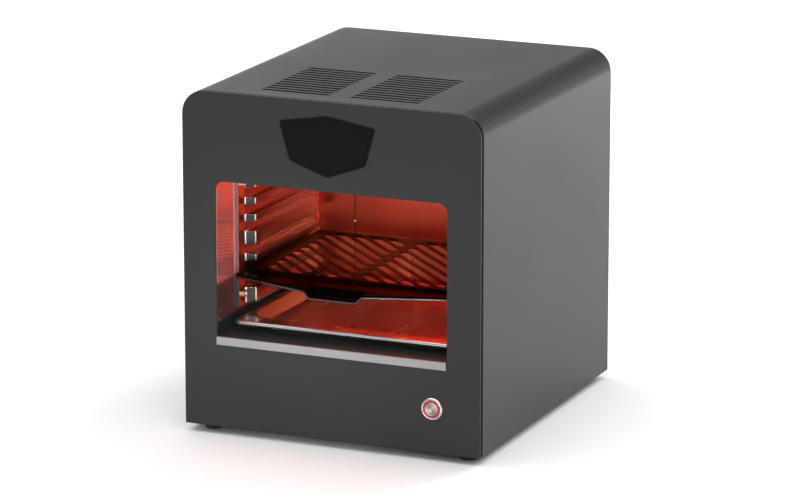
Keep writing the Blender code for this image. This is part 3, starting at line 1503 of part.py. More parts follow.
def make_electrics(root, green, black, white):
    """Relay board, terminal block, safety cut-out and the gland for the mains cord."""
    board_x = BOARD_FROM_MIDDLE
    board_y = FRONT_Y + BOARD_SETBACK
    low = BASE_TOP + SEAT_GAP
    top = low + BOARD_HEIGHT
    parts = [
        box(
            "board",
            (BOARD_WIDTH, BOARD_LENGTH, BOARD_THICKNESS),
            (0.0, 0.0, top + BOARD_THICKNESS / 2),
        )
    ]
    for x in (-1.0, 1.0):
        for y in (-1.0, 1.0):
            spot = (x * (BOARD_WIDTH / 2 - BOARD_LEG_INSET), y * (BOARD_LENGTH / 2 - BOARD_LEG_INSET))
            outline = circle(BOARD_LEG_RADIUS, BOARD_LEG_STEPS, spot)
            parts.append(prism("board_leg", outline, low, top + BOARD_THICKNESS * 2, "Z"))
    piece("relay_board", fused("relay_board", parts), green, root, (board_x, board_y, 0.0))
    relay = box(
        "power_relay",
        (RELAY_WIDTH, RELAY_LENGTH, RELAY_HEIGHT),
        (0.0, 0.0, RELAY_HEIGHT / 2),
    )
    relay_z = top + BOARD_THICKNESS + SEAT_GAP
    shape = piece("power_relay", relay, black, root, (board_x, board_y, relay_z))
    edge_bevel(shape, RELAY_BEVEL)

    block_y = REAR_Y - BLOCK_FROM_REAR
    block = piece(
        "terminal_block",
        box("terminal_block", (BLOCK_LENGTH, BLOCK_DEPTH, BLOCK_HEIGHT), (0.0, 0.0, BLOCK_HEIGHT / 2)),
        white,
        root,
        (GLAND_FROM_MIDDLE, block_y, low),
    )
    wells = []
    for way in range(BLOCK_WAY_COUNT):
        x = BLOCK_PITCH * (way - (BLOCK_WAY_COUNT - 1) / 2)
        outline = circle(BLOCK_WELL_RADIUS, BOARD_LEG_STEPS, (x, 0.0))
        bottom = BLOCK_HEIGHT - BLOCK_WELL_DEPTH
        wells.append(prism("well", outline, bottom, BLOCK_HEIGHT + CUT_OVERRUN, "Z"))
    cutter = helper("well_cutter", joined("well_cutter", wells), root, (GLAND_FROM_MIDDLE, block_y, low))
    boolean(block, cutter, "DIFFERENCE")

    cut_y = LINER_THICKNESS + SEAT_GAP
    parts = [
        box(
            "cutout_flange",
            (CUTOUT_FLANGE_WIDTH, CUTOUT_FLANGE_THICKNESS, CUTOUT_FLANGE_HEIGHT),
            (0.0, cut_y + CUTOUT_FLANGE_THICKNESS / 2, 0.0),
        ),
        prism(
            "cutout_disc",
            circle(CUTOUT_RADIUS, CUTOUT_STEPS),
            cut_y,
            cut_y + CUTOUT_HEIGHT,
            "Y",
        ),
    ]
    for side in (-1.0, 1.0):
        size = (CUTOUT_LUG_WIDTH, 2 * CUTOUT_LUG_LENGTH, CUTOUT_LUG_THICKNESS)
        spot = (0.0, cut_y + CUTOUT_HEIGHT, side * CUTOUT_LUG_SPREAD)
        lug = box("cutout_lug", size, spot)
        bm = bmesh.new()
        bm.from_mesh(lug)
        bpy.data.meshes.remove(lug)
        low_side = cut_y + CUTOUT_FLANGE_THICKNESS
        bmesh.ops.bisect_plane(
            bm,
            geom=bm.verts[:] + bm.edges[:] + bm.faces[:],
            plane_co=(0.0, low_side, 0.0),
            plane_no=(0.0, -1.0, 0.0),
            clear_outer=True,
        )
        bmesh.ops.holes_fill(bm, edges=bm.edges)
        parts.append(closed_mesh("cutout_lug", bm))
    place = (0.0, BACK_WALL_Y, LINER_TOP - CUTOUT_BELOW_TOP)
    piece("thermal_cutout", fused("thermal_cutout", parts), white, root, place)

    seat = SEAT_GAP
    dome_start = seat + GLAND_HEX_HEIGHT
    dome_end = dome_start + GLAND_DOME_HEIGHT
    thread_end = -SHELL_THICKNESS - GLAND_THREAD_LENGTH
    core = turned(
        "gland_core",
        [
            (GLAND_BORE_RADIUS, thread_end),
            (GLAND_THREAD_RADIUS, thread_end),
            (GLAND_THREAD_RADIUS, seat + GLAND_HEX_HEIGHT / 2),
            (GLAND_DOME_RADIUS, seat + GLAND_HEX_HEIGHT / 2),
            (GLAND_DOME_RADIUS, dome_end - GLAND_DOME_HEIGHT / 2),
            (GLAND_BORE_RADIUS + GLAND_DOME_HEIGHT / 3, dome_end),
            (GLAND_BORE_RADIUS, dome_end),
        ],
        GLAND_STEPS,
        "Y",
        closed=True,
    )
    hexed = prism("gland_hex", hexagon(GLAND_FLATS), seat, dome_start, "Y")
    place = Vector((GLAND_FROM_MIDDLE, REAR_Y, GLAND_HEIGHT))
    gland = piece("cable_gland", fused("cable_gland", [hexed, core]), black, root, place)
    bore = prism(
        "gland_bore_cutter",
        circle(GLAND_BORE_RADIUS, GLAND_STEPS),
        thread_end - CUT_OVERRUN,
        dome_end + CUT_OVERRUN,
        "Y",
    )
    boolean(gland, helper("gland_bore_cutter", bore, root, place), "DIFFERENCE")
    back = -SHELL_THICKNESS - SEAT_GAP
    nut = piece(
        "gland_nut",
        prism("gland_nut", hexagon(GLAND_FLATS), back - GLAND_NUT_HEIGHT, back, "Y"),
        black,
        root,
        place,
    )
    bore = prism(
        "gland_nut_cutter",
        circle(GLAND_THREAD_RADIUS + SLIDE_CLEARANCE, GLAND_STEPS),
        back - GLAND_NUT_HEIGHT - CUT_OVERRUN,
        back + CUT_OVERRUN,
        "Y",
    )
    boolean(nut, helper("gland_nut_cutter", bore, root, place), "DIFFERENCE")


def smooth_route(corners):
    """Points along a wire's route: a straight end at each terminal and a soft curve between."""
    points = [Vector(corner) for corner in corners]
    route = [points[0]]
    for index in range(1, len(points) - 2):
        before, start, end, after = points[index - 1 : index + 3]
        count = max(2, round((end - start).length / LEAD_POINT_SPACING))
        for step in range(count):
            t = step / count
            a = -0.5 * t + t**2 - 0.5 * t**3
            b = 1.0 - 2.5 * t**2 + 1.5 * t**3
            c = 0.5 * t + 2.0 * t**2 - 1.5 * t**3
            d = -0.5 * t**2 + 0.5 * t**3
            route.append(before * a + start * b + end * c + after * d)
    return route + points[-2:]


def make_leads(root, red, blue, brown):
    """Insulated leads between the terminals."""
    behind = BACK_WALL_Y + ELEMENT_COLD_END
    end_y = behind + SEAT_GAP
    rear_run = (behind + REAR_Y) / 2
    block_y = REAR_Y - BLOCK_FROM_REAR
    block_top = BASE_TOP + 2 * SEAT_GAP + BLOCK_HEIGHT
    board_x = BOARD_FROM_MIDDLE
    board_y = FRONT_Y + BOARD_SETBACK
    board_top = BASE_TOP + 2 * SEAT_GAP + BOARD_HEIGHT + BOARD_THICKNESS
    lug_y = BACK_WALL_Y + LINER_THICKNESS + 2 * SEAT_GAP + CUTOUT_HEIGHT + CUTOUT_LUG_LENGTH
    cutout_z = LINER_TOP - CUTOUT_BELOW_TOP
    middle_z = (cutout_z + block_top) / 2
    side_x = element_side()
    well = BLOCK_PITCH
    pad_rear = board_y + BOARD_LENGTH * BOARD_PAD_SHARE
    pad_front = board_y - BOARD_LENGTH * BOARD_PAD_SHARE
    pad_left = board_x - BOARD_WIDTH * BOARD_PAD_SHARE
    pad_right = board_x + BOARD_WIDTH * BOARD_PAD_SHARE
    switch_end = FRONT_Y + BARREL_LENGTH + SWITCH_INSERT_PAST + SWITCH_LUG_LENGTH + SEAT_GAP
    routes = {
        "lead_neutral": (
            [
                (GLAND_FROM_MIDDLE + well, block_y, block_top),
                (GLAND_FROM_MIDDLE + well, block_y, block_top + LEAD_RISE),
                (side_x + LEAD_SIDE_SWEEP, rear_run, middle_z),
                (side_x, rear_run, element_height()),
                (side_x, end_y, element_height()),
            ],
            blue,
        ),
        "lead_supply": (
            [
                (GLAND_FROM_MIDDLE - well, block_y, block_top),
                (GLAND_FROM_MIDDLE - well, block_y, block_top + LEAD_RISE),
                (side_x / 2, rear_run, middle_z),
                (0.0, rear_run, cutout_z - CUTOUT_LUG_SPREAD),
                (0.0, lug_y, cutout_z - CUTOUT_LUG_SPREAD),
            ],
            brown,
        ),
        "lead_cutout": (
            [
                (0.0, lug_y, cutout_z + CUTOUT_LUG_SPREAD),
                (0.0, (lug_y + rear_run) / 2, cutout_z + CUTOUT_LUG_SPREAD),
                (-side_x * CUTOUT_LEAD_SHARE, rear_run, cutout_z),
                (-side_x * CUTOUT_LEAD_SHARE * 2, rear_run, middle_z),
                (0.0, LINER_REAR_Y + LEAD_SWEEP, FLOOR_HEIGHT / 2),
                (board_x, pad_rear, board_top + LEAD_RISE),
                (board_x, pad_rear, board_top),
            ],
            brown,
        ),
        "lead_element": (
            [
                (pad_left, pad_rear, board_top),
                (pad_left, pad_rear, board_top + LEAD_RISE),
                (-side_x / 2, LINER_REAR_Y + LEAD_SWEEP, FLOOR_HEIGHT / 2),
                (-side_x, rear_run, middle_z),
                (-side_x, rear_run, element_height()),
                (-side_x, end_y, element_height()),
            ],
            red,
        ),
        "lead_switch": (
            [
                (SWITCH_X, switch_end, SWITCH_HEIGHT),
                (SWITCH_X, switch_end + LEAD_POINT_SPACING, SWITCH_HEIGHT),
                (support_web(), *support_hole_places()[0]),
                (pad_right, pad_front, board_top + LEAD_RISE),
                (pad_right, pad_front, board_top),
            ],
            red,
        ),
    }
    for name, (corners, colour) in routes.items():
        add(tube(name, smooth_route(corners), LEAD_RADIUS, LEAD_RING_STEPS), colour, root)


def main():
    clear_scene()
    root = bpy.data.objects.new("grill_origin", None)
    root.location = (0.0, ORIGIN_SHIFT, FOOT_HEIGHT)
    bpy.context.scene.collection.objects.link(root)

    paint = make_material("grey_powder_coat", (0.075, 0.075, 0.078), 0.55, 0.0)
    black_paint = make_material("black_paint", (0.012, 0.012, 0.012), 0.5, 0.0)
    rubber = make_material("black_rubber", (0.015, 0.015, 0.015), 0.8, 0.0)
    brushed = make_material("brushed_steel", (0.62, 0.61, 0.60), 0.30, 1.0)
    bright = make_material("polished_steel", (0.70, 0.69, 0.68), 0.16, 1.0)
    galvanised = make_material("galvanised_steel", (0.50, 0.51, 0.52), 0.42, 1.0)
    enamel = make_material("black_enamel", (0.010, 0.010, 0.011), 0.12, 0.0)
    hot = make_material("element_sheath", (0.95, 0.16, 0.02), 0.6, 0.3, 4.0)
    ceramic = make_material("ceramic", (0.85, 0.82, 0.76), 0.5, 0.0)
    wool = make_material("mineral_wool", (0.62, 0.58, 0.46), 0.95, 0.0)
    lens = make_material("red_lens", (0.9, 0.04, 0.03), 0.25, 0.0, 2.0)
    gloss_black = make_material("gloss_black", (0.012, 0.012, 0.013), 0.25, 0.0)
    plastic = make_material("black_plastic", (0.02, 0.02, 0.02), 0.45, 0.0)
    white = make_material("white_plastic", (0.80, 0.79, 0.76), 0.45, 0.0)
    board = make_material("green_board", (0.02, 0.16, 0.06), 0.4, 0.0)
    spring = make_material("spring_steel", (0.45, 0.45, 0.46), 0.3, 1.0)
    red = make_material("red_insulation", (0.55, 0.03, 0.02), 0.5, 0.0)
    blue = make_material("blue_insulation", (0.02, 0.10, 0.45), 0.5, 0.0)
    brown = make_material("brown_insulation", (0.16, 0.07, 0.03), 0.5, 0.0)

    screw_holes = make_outer_shell(root, paint)
    make_front(root, paint, black_paint)
    make_rear_panel(root, paint, screw_holes)
    make_base(root, black_paint, rubber, screw_holes)
    make_screws(root, galvanised)
    make_supports(root, galvanised)
    make_liner(root, brushed, bright)
    make_reflector(root, bright, wool, galvanised)
    make_racks(root, brushed, bright)
    make_element(root, hot, ceramic, galvanised)
    make_pan(root, enamel)
    make_tray(root, bright)
    make_switch(root, brushed, lens, plastic, spring)
    make_badge(root, gloss_black)
    make_electrics(root, board, plastic, white)
    make_leads(root, red, blue, brown)


main()
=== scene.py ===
"""Visual model of a countertop electric grill with an open front and heat from above.

The sections follow the grill as it is put together: the room it stands in, the base and its feet,
the cooking space, the racks, the heat above it, the front with its switch, the casing, the
wiring behind, and last the pan and the tray that slide in.
"""

import math

import bmesh
import bpy
from mathutils import Matrix, Vector


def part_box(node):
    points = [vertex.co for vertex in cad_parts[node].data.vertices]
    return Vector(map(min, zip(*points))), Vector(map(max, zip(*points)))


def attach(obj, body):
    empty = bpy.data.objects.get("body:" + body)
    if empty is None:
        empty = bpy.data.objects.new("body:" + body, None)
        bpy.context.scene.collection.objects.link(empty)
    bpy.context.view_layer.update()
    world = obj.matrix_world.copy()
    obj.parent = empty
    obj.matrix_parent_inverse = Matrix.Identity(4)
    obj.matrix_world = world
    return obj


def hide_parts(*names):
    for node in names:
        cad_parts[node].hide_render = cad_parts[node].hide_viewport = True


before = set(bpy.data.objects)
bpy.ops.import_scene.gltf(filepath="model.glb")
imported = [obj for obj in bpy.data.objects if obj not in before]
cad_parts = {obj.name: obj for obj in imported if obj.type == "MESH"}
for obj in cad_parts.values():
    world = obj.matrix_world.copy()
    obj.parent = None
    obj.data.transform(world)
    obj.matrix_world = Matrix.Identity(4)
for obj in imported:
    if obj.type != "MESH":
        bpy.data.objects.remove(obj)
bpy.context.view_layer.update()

# -----------------------------------------------------------------------------
# The room. A plain pale floor, soft boxes above, in front and behind, a small light into the
# window, and a pale world with a darker belt, with the camera where the photograph was taken from.
# -----------------------------------------------------------------------------
scene = bpy.context.scene
scene.view_settings.view_transform = "Standard"


def linked(obj):
    scene.collection.objects.link(obj)
    return obj


def surface(name, colour, roughness, metallic=0.0, **sockets):
    """A material with its Principled shader, whose plain values sit on the shader's sockets."""
    material = bpy.data.materials.new(name)
    material.use_nodes = True
    shader = material.node_tree.nodes["Principled BSDF"]
    shader.inputs["Base Color"].default_value = (*colour, 1.0)
    shader.inputs["Roughness"].default_value = roughness
    shader.inputs["Metallic"].default_value = metallic
    for label, value in sockets.items():
        shader.inputs[label.replace("_", " ")].default_value = value
    material.diffuse_color = (*colour, 1.0)
    return material


def node(tree, kind, values=None, **settings):
    """A node with its settings. Each input gets a plain value, or the socket that feeds it."""
    made = tree.nodes.new(kind)
    for name, value in settings.items():
        setattr(made, name, value)
    for name, value in (values or {}).items():
        if isinstance(value, bpy.types.NodeSocket):
            tree.links.new(value, made.inputs[name])
        else:
            made.inputs[name].default_value = value
    return made


FLOOR_REACH = 30.0
floor_corners = [(-1, -1), (1, -1), (1, 1), (-1, 1)]
floor_corners = [(x * FLOOR_REACH, y * FLOOR_REACH, 0) for x, y in floor_corners]
floor_mesh = bpy.data.meshes.new("studio_floor")
floor_mesh.from_pydata(floor_corners, [], [(0, 1, 2, 3)])
floor_white = surface("floor_white", (0.93, 0.93, 0.93), 0.9, Specular_IOR_Level=0.0)
floor_mesh.materials.append(floor_white)
linked(bpy.data.objects.new("studio_floor", floor_mesh))

world = bpy.data.worlds.new("studio_world")
world.use_nodes = True
scene.world = world
world_tree = world.node_tree
background = world_tree.nodes["Background"]
background.inputs["Color"].default_value = (1.0, 1.0, 1.0, 1.0)
WORLD_STRENGTH = 1.5
# Each pair is a height above the horizon and the share of the full light that comes from there.
HORIZON, OVERHEAD = (0.0, 0.60), (0.70, 1.0)
BELT = ((0.13, 0.56), (0.25, 0.33), (0.41, 0.05), (0.52, 0.08))
direction = node(world_tree, "ShaderNodeTexCoord").outputs["Generated"]
height = node(world_tree, "ShaderNodeSeparateXYZ", {0: direction}).outputs["Z"]
glow = node(world_tree, "ShaderNodeValToRGB", {"Fac": height})
steps = glow.color_ramp.elements
for step, (place, share) in zip((steps[0], steps[1]), (HORIZON, OVERHEAD)):
    step.position, step.color = place, (share, share, share, 1.0)
for place, share in BELT:
    steps.new(place).color = (share, share, share, 1.0)
brightness = {0: glow.outputs["Color"], 1: WORLD_STRENGTH}
brightness = node(world_tree, "ShaderNodeMath", brightness, operation="MULTIPLY")
world_tree.links.new(brightness.outputs[0], background.inputs["Strength"])


def softbox(name, power, size, place, aim, colour=(1.0, 1.0, 1.0)):
    """A square area light that looks from its place to its aim."""
    light = bpy.data.lights.new(name, "AREA")
    light.energy = power
    light.size = size
    light.color = colour
    lamp = linked(bpy.data.objects.new(name, light))
    lamp.location = place
    lamp.rotation_euler = (Vector(aim) - Vector(place)).to_track_quat("-Z", "Y").to_euler()
    return lamp


softbox("softbox_above", 12.0, 2.4, (-0.3, 0.0, 2.6), (-0.3, 0.0, 0.0))
softbox("softbox_front", 3.2, 0.30, (0.80, -1.35, 0.60), (0.05, -0.1, 0.2))
softbox("softbox_behind", 55.0, 1.2, (1.3, 3.0, 1.2), (0.8, 2.0, 0.0)).visible_glossy = False
window_fill = softbox("window_fill", 0.10, 0.15, (0.42, -1.45, 0.46), (-0.08, -0.10, 0.13))
window_fill.data.spread = math.radians(16.0)

CAMERA_AZIMUTH, CAMERA_PITCH = 23.37, 14.148
CAMERA_LENS, CAMERA_SENSOR, CAMERA_SIGHT = 196.48, 36.0, 100.0
camera_data = bpy.data.cameras.new("camera")
camera_data.lens = CAMERA_LENS
camera_data.sensor_width = CAMERA_SENSOR
camera_data.clip_end = CAMERA_SIGHT
camera = linked(bpy.data.objects.new("camera", camera_data))
camera.location = (1.87187, -4.33993, 1.36612)
camera.rotation_euler = (math.radians(90.0 - CAMERA_PITCH), 0.0, math.radians(CAMERA_AZIMUTH))
scene.camera = camera

# -----------------------------------------------------------------------------
# Base plate: a black painted steel tray with turned-up edges and intake slots, held to the
# wrapper's flanges by four screws.
# -----------------------------------------------------------------------------


def effect(name, scales, limits):
    """A shader node group for a finish, with what it is given and what it gives.

    It is given the place, its scales, and a low and a high limit for each of its qualities. It
    gives a height, a tone and a roughness.
    """
    group = bpy.data.node_groups.new(name, "ShaderNodeTree")
    group.interface.new_socket("Vector", in_out="INPUT", socket_type="NodeSocketVector")
    numbers = list(scales.items())
    for quality, (low, high) in limits.items():
        numbers += [(quality + " Low", low), (quality + " High", high)]
    for label, value in numbers:
        socket = group.interface.new_socket(label, in_out="INPUT", socket_type="NodeSocketFloat")
        socket.default_value = value
    for label in ("Height", "Tone", "Roughness"):
        group.interface.new_socket(label, in_out="OUTPUT", socket_type="NodeSocketFloat")
    given, gives = group.nodes.new("NodeGroupInput"), group.nodes.new("NodeGroupOutput")
    return group, given.outputs, gives.inputs


def noise(group, given, scale, detail, roughness):
    """A noise over the place, at one of the group's scales."""
    values = {"Vector": given["Vector"], "Scale": given[scale]}
    values.update({"Detail": detail, "Roughness": roughness})
    return node(group, "ShaderNodeTexNoise", values).outputs["Fac"]


def ranged(group, given, quality, source, low=0.3, high=0.7):
    """The source, which runs from low to high, between the limits of a quality."""
    limits = {"To Min": given[quality + " Low"], "To Max": given[quality + " High"]}
    values = {"Value": source, "From Min": low, "From Max": high, **limits}
    return node(group, "ShaderNodeMapRange", values).outputs[0]


def ended(group, gives, *sources):
    """The group, with its height, its tone and its roughness handed on."""
    for source, socket in zip(sources, gives):
        group.links.new(source, socket)
    return group


def grain_effect():
    """Fine grain of a sprayed, cast or moulded skin, with a slow change of tone over it."""
    group, given, gives = effect(
        "surface_grain",
        {"Grain Scale": 1500.0, "Cloud Scale": 9.0},
        {"Tone": (0.9, 1.1), "Rough": (0.4, 0.5)},
    )
    grain = noise(group, given, "Grain Scale", 2.0, 0.6)
    cloud = noise(group, given, "Cloud Scale", 3.0, 0.55)
    tone = ranged(group, given, "Tone", cloud)
    return ended(group, gives, grain, tone, ranged(group, given, "Rough", cloud))


surface_grain = grain_effect()
MIX_FIRST, MIX_SECOND, MIX_RESULT = 6, 7, 2


def along(tree, axis):
    """The place along an axis, or how far a face looks along it if the axis starts with F."""
    if axis[0] == "F":
        source = node(tree, "ShaderNodeAttribute", attribute_name="facing").outputs["Vector"]
    else:
        source = node(tree, "ShaderNodeTexCoord").outputs["Object"]
    return node(tree, "ShaderNodeSeparateXYZ", {0: source}).outputs[axis[-1]]


def with_effect(
    material, group, colour, stretch=(1.0, 1.0, 1.0), bump=0.1, depth=0.0002, zones=(), **values
):
    """Puts an effect on a material: its tone on the colour, its roughness, and its height as bump.

    A zone is an axis, a start, an end and the colour that takes over between them.
    """
    tree = material.node_tree
    place = node(tree, "ShaderNodeTexCoord").outputs["Object"]
    mapping = node(tree, "ShaderNodeMapping", {"Vector": place, "Scale": stretch})
    values = {label.replace("_", " "): value for label, value in values.items()}
    values["Vector"] = mapping.outputs[0]
    made = node(tree, "ShaderNodeGroup", values, node_tree=group).outputs
    source = (*colour, 1.0)
    for axis, start, end, other in zones:
        share = {"Value": along(tree, axis), "From Min": start, "From Max": end}
        share = node(tree, "ShaderNodeMapRange", share, interpolation_type="SMOOTHSTEP")
        blend = {"Factor": share.outputs[0], MIX_FIRST: source, MIX_SECOND: (*other, 1.0)}
        source = node(tree, "ShaderNodeMix", blend, data_type="RGBA").outputs[MIX_RESULT]
    tone = {"Factor": made["Tone"], MIX_FIRST: (0.0, 0.0, 0.0, 1.0), MIX_SECOND: source}
    tone = node(tree, "ShaderNodeMix", tone, data_type="RGBA", clamp_factor=False)
    relief = {"Height": made["Height"], "Strength": bump, "Distance": depth}
    relief = node(tree, "ShaderNodeBump", relief)
    shader = tree.nodes["Principled BSDF"].inputs
    tree.links.new(tone.outputs[MIX_RESULT], shader["Base Color"])
    tree.links.new(made["Roughness"], shader["Roughness"])
    tree.links.new(relief.outputs[0], shader["Normal"])
    return material


def grained(
    name, colour, rough, tone=(0.92, 1.08), grain=1500.0, bump=0.1, zones=(), **sockets
):
    """A painted or moulded skin."""
    material = surface(name, colour, rough[0], **sockets)
    return with_effect(
        material, surface_grain, colour, bump=bump, zones=zones, Grain_Scale=grain,
        Tone_Low=tone[0], Tone_High=tone[1], Rough_Low=rough[0], Rough_High=rough[1],
    )


MERGE = 0.000004
FLAT, ROUNDED, SHARP = math.radians(0.6), math.radians(30.0), math.radians(33.0)


def merged(cad_node):
    """The CAD node's triangles as a mesh with whole flat faces."""
    bm = bmesh.new()
    bm.from_mesh(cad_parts[cad_node].data)
    bmesh.ops.remove_doubles(bm, verts=bm.verts, dist=MERGE)
    bmesh.ops.dissolve_limit(bm, angle_limit=FLAT, verts=bm.verts, edges=bm.edges)
    return bm


def settle(obj):
    """The object's evaluated shape as its plain mesh."""
    bpy.context.view_layer.update()
    graph = bpy.context.evaluated_depsgraph_get()
    mesh = bpy.data.meshes.new_from_object(obj.evaluated_get(graph), depsgraph=graph)
    obj.modifiers.clear()
    obj.data = mesh
    return obj


def rounded(obj, edge, segments=2):
    """Small radii on the sharp edges."""
    bevel = obj.modifiers.new("edges", "BEVEL")
    bevel.width = edge
    bevel.segments = segments
    bevel.limit_method = "ANGLE"
    bevel.angle_limit = ROUNDED
    bevel.harden_normals = True
    return settle(obj)


def placed(obj, stands_for=(), body="housing"):
    """Hands a finished piece to its body, and hides the CAD nodes that it stands for."""
    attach(obj, body)
    if stands_for:
        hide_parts(*stands_for)


def shape(name, bm, material, edge=0.0, segments=2, sharp=SHARP):
    """An object from mesh code, smooth but for its sharp edges."""
    mesh = bpy.data.meshes.new(name)
    bm.to_mesh(mesh)
    bm.free()
    mesh.materials.append(material)
    mesh.shade_smooth()
    mesh.set_sharp_from_angle(angle=sharp)
    obj = linked(bpy.data.objects.new(name, mesh))
    return rounded(obj, edge, segments) if edge else obj


def facing_marked(obj):
    """Writes into the mesh the way each face looks, for colours that differ between faces, which
    here paint light and shade.
    """
    mark = obj.data.attributes.new("facing", "FLOAT_VECTOR", "FACE")
    for face in obj.data.polygons:
        mark.data[face.index].vector = face.normal
    return obj


def dressed(cad_node, material, edge=0.0003, body="housing", segments=2, sharp=SHARP):
    """A CAD piece whose shape is right, with rounded edges and its real finish."""
    obj = shape(cad_node + "_piece", merged(cad_node), material, edge, segments, sharp)
    placed(facing_marked(obj), [cad_node], body)


black_paint = grained("black_paint", (0.014, 0.014, 0.015), (0.38, 0.5), grain=1100.0, bump=0.12)
dressed("base_plate", black_paint)

# -----------------------------------------------------------------------------
# Feet: moulded rubber buttons with a rounded sole, pushed through the base plate by a barb.
# -----------------------------------------------------------------------------


def turned(profile, centre, axis, steps=48, closed=False):
    """A profile of pairs, a radius and a height, turned round an axis through a centre."""
    bm = bmesh.new()
    rings = []
    for radius, height in profile:
        if radius == 0.0:
            rings.append([bm.verts.new((0.0, 0.0, height))])
            continue
        ring = []
        for index in range(steps):
            angle = math.tau * index / steps
            ring.append(bm.verts.new((radius * math.cos(angle), radius * math.sin(angle), height)))
        rings.append(ring)
    pairs = list(zip(rings, rings[1:])) + ([(rings[-1], rings[0])] if closed else [])
    for first, second in pairs:
        for index in range(steps):
            corners = [first[index % len(first)], first[(index + 1) % len(first)]]
            corners += [second[(index + 1) % len(second)], second[index % len(second)]]
            bm.faces.new(dict.fromkeys(corners))
    turn = {"Z": Matrix.Identity(4), "Y": Matrix.Rotation(-math.pi / 2, 4, "X")}[axis]
    bmesh.ops.transform(bm, matrix=Matrix.Translation(centre) @ turn, verts=bm.verts)
    bmesh.ops.recalc_face_normals(bm, faces=bm.faces)
    return bm


def fillet(corner, before, after, radius, steps=4):
    """Points of a rounded corner of a profile."""
    corner, before, after = Vector(corner), Vector(before), Vector(after)
    start = corner + (before - corner).normalized() * radius
    end = corner + (after - corner).normalized() * radius
    points = []
    for index in range(steps + 1):
        t = index / steps
        point = start * (1 - t) ** 2 + corner * 2 * t * (1 - t) + end * t**2
        points.append(tuple(point))
    return points


def softened(profile, radii, steps=4, closed=False):
    """A profile with each corner rounded by its own radius."""
    points = []
    count = len(profile)
    for index, (corner, radius) in enumerate(zip(profile, radii)):
        ends = not closed and index in (0, count - 1)
        if ends or not radius:
            points.append(corner)
        else:
            after = profile[(index + 1) % count]
            points += fillet(corner, profile[index - 1], after, radius, steps)
    return points


rubber = grained("black_rubber", (0.018, 0.018, 0.019), (0.7, 0.85), grain=900.0, bump=0.2)
sole = [(0.0, 0.0006), (0.006, 0.0006), (0.0072, 0.0), (0.0088, 0.0), (0.010, 0.0089)]
barb = [(0.0025, 0.0089), (0.0025, 0.0122), (0.0042, 0.0122), (0.0025, 0.0169), (0.0, 0.0169)]
radii = (0, 0.0004, 0.0004, 0.0012, 0.0006, 0, 0, 0.0004, 0.0005, 0)
foot_profile = softened(sole + barb, radii)
CORNERS = ("front_left", "front_right", "rear_left", "rear_right")
for place in CORNERS:
    low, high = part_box("foot_" + place)
    middle = ((low.x + high.x) / 2, (low.y + high.y) / 2, 0.0)
    foot = shape("foot_pad_" + place, turned(foot_profile, middle, "Z"), rubber)
    placed(foot, ["foot_" + place])

# -----------------------------------------------------------------------------
# Stands: two folded zinc-plated channels with round lightening holes, which carry the cooking
# space from the base plate.
# -----------------------------------------------------------------------------


def zinc_effect():
    """Zinc plating: pale spangles, each with its own tone and gloss."""
    group, given, gives = effect(
        "zinc_spangle", {"Spangle Scale": 220.0}, {"Tone": (0.85, 1.1), "Rough": (0.3, 0.5)}
    )
    values = {"Vector": given["Vector"], "Scale": given["Spangle Scale"], "Randomness": 1.0}
    spangle = node(group, "ShaderNodeTexVoronoi", values).outputs
    split = node(group, "ShaderNodeSeparateColor", {0: spangle["Color"]}).outputs
    tone = ranged(group, given, "Tone", split["Red"], 0.0, 1.0)
    rough = ranged(group, given, "Rough", split["Green"], 0.0, 1.0)
    return ended(group, gives, spangle["Distance"], tone, rough)


ZINC = (0.40, 0.41, 0.42)
zinc = with_effect(surface("zinc_plated", ZINC, 0.4, 1.0), zinc_effect(), ZINC, bump=0.03)
for side in ("left", "right"):
    dressed("floor_support_" + side, zinc)

# -----------------------------------------------------------------------------
# Floor of the cooking space: brushed stainless sheet whose front edge folds down over the front
# panel as a bright lip.
# -----------------------------------------------------------------------------


def brushed_effect():
    """Fine parallel brush lines, some longer marks among them, and soft wiping smudges."""
    group, given, gives = effect(
        "brush_lines",
        {"Line Scale": 900.0, "Smudge Scale": 14.0},
        {"Tone": (0.9, 1.05), "Rough": (0.2, 0.35)},
    )
    lines = noise(group, given, "Line Scale", 3.0, 0.65)
    smudge = noise(group, given, "Smudge Scale", 2.0, 0.5)
    tone = ranged(group, given, "Tone", lines)
    return ended(group, gives, lines, tone, ranged(group, given, "Rough", smudge, 0.35, 0.65))


brush_lines = brushed_effect()
BRUSH_DEPTH = 0.00005


def steel(name, colour, rough, stretch, bump=0.05, zones=()):
    """Stainless sheet with its brush lines along the axis whose share in the stretch is small."""
    return with_effect(
        surface(name, colour, rough[0], 1.0), brush_lines, colour, stretch, bump, BRUSH_DEPTH,
        zones, Line_Scale=900.0, Tone_Low=0.94, Tone_High=1.04, Rough_Low=rough[0],
        Rough_High=rough[1],
    )


# The lip is bright and the flat behind it is darker; the floor under the tray is a little paler,
# painted light that lifts the tray's shade there.
LIP_END, TRAY_SHADE_LIFT = (-0.1975, -0.1962), (-0.180, -0.150)
brushed_along_x = steel(
    "brushed_steel_along_x", (0.36, 0.36, 0.355), (0.40, 0.52), (0.03, 1.0, 1.0), 0.12,
    zones=[("Y", *LIP_END, (0.048, 0.058, 0.058)), ("Y", *TRAY_SHADE_LIFT, (0.12, 0.12, 0.12))],
)
brushed_along_x.node_tree.nodes["Principled BSDF"].inputs["Metallic"].default_value = 0.7
dressed("cavity_floor", brushed_along_x, 0.0004, segments=3)

# -----------------------------------------------------------------------------
# Side walls and back wall: bright stainless sheets. The back wall shows an upright joint with
# small rivets at its left.
# -----------------------------------------------------------------------------


def dulled(material, axis, start, end, before, after):
    """Lets a steel lose some of its mirror along an axis, where wiping and heat have dulled it."""
    tree = material.node_tree
    values = {"Value": along(tree, axis), "From Min": start, "From Max": end}
    values.update({"To Min": before, "To Max": after})
    share = node(tree, "ShaderNodeMapRange", values).outputs[0]
    tree.links.new(share, tree.nodes["Principled BSDF"].inputs["Metallic"])
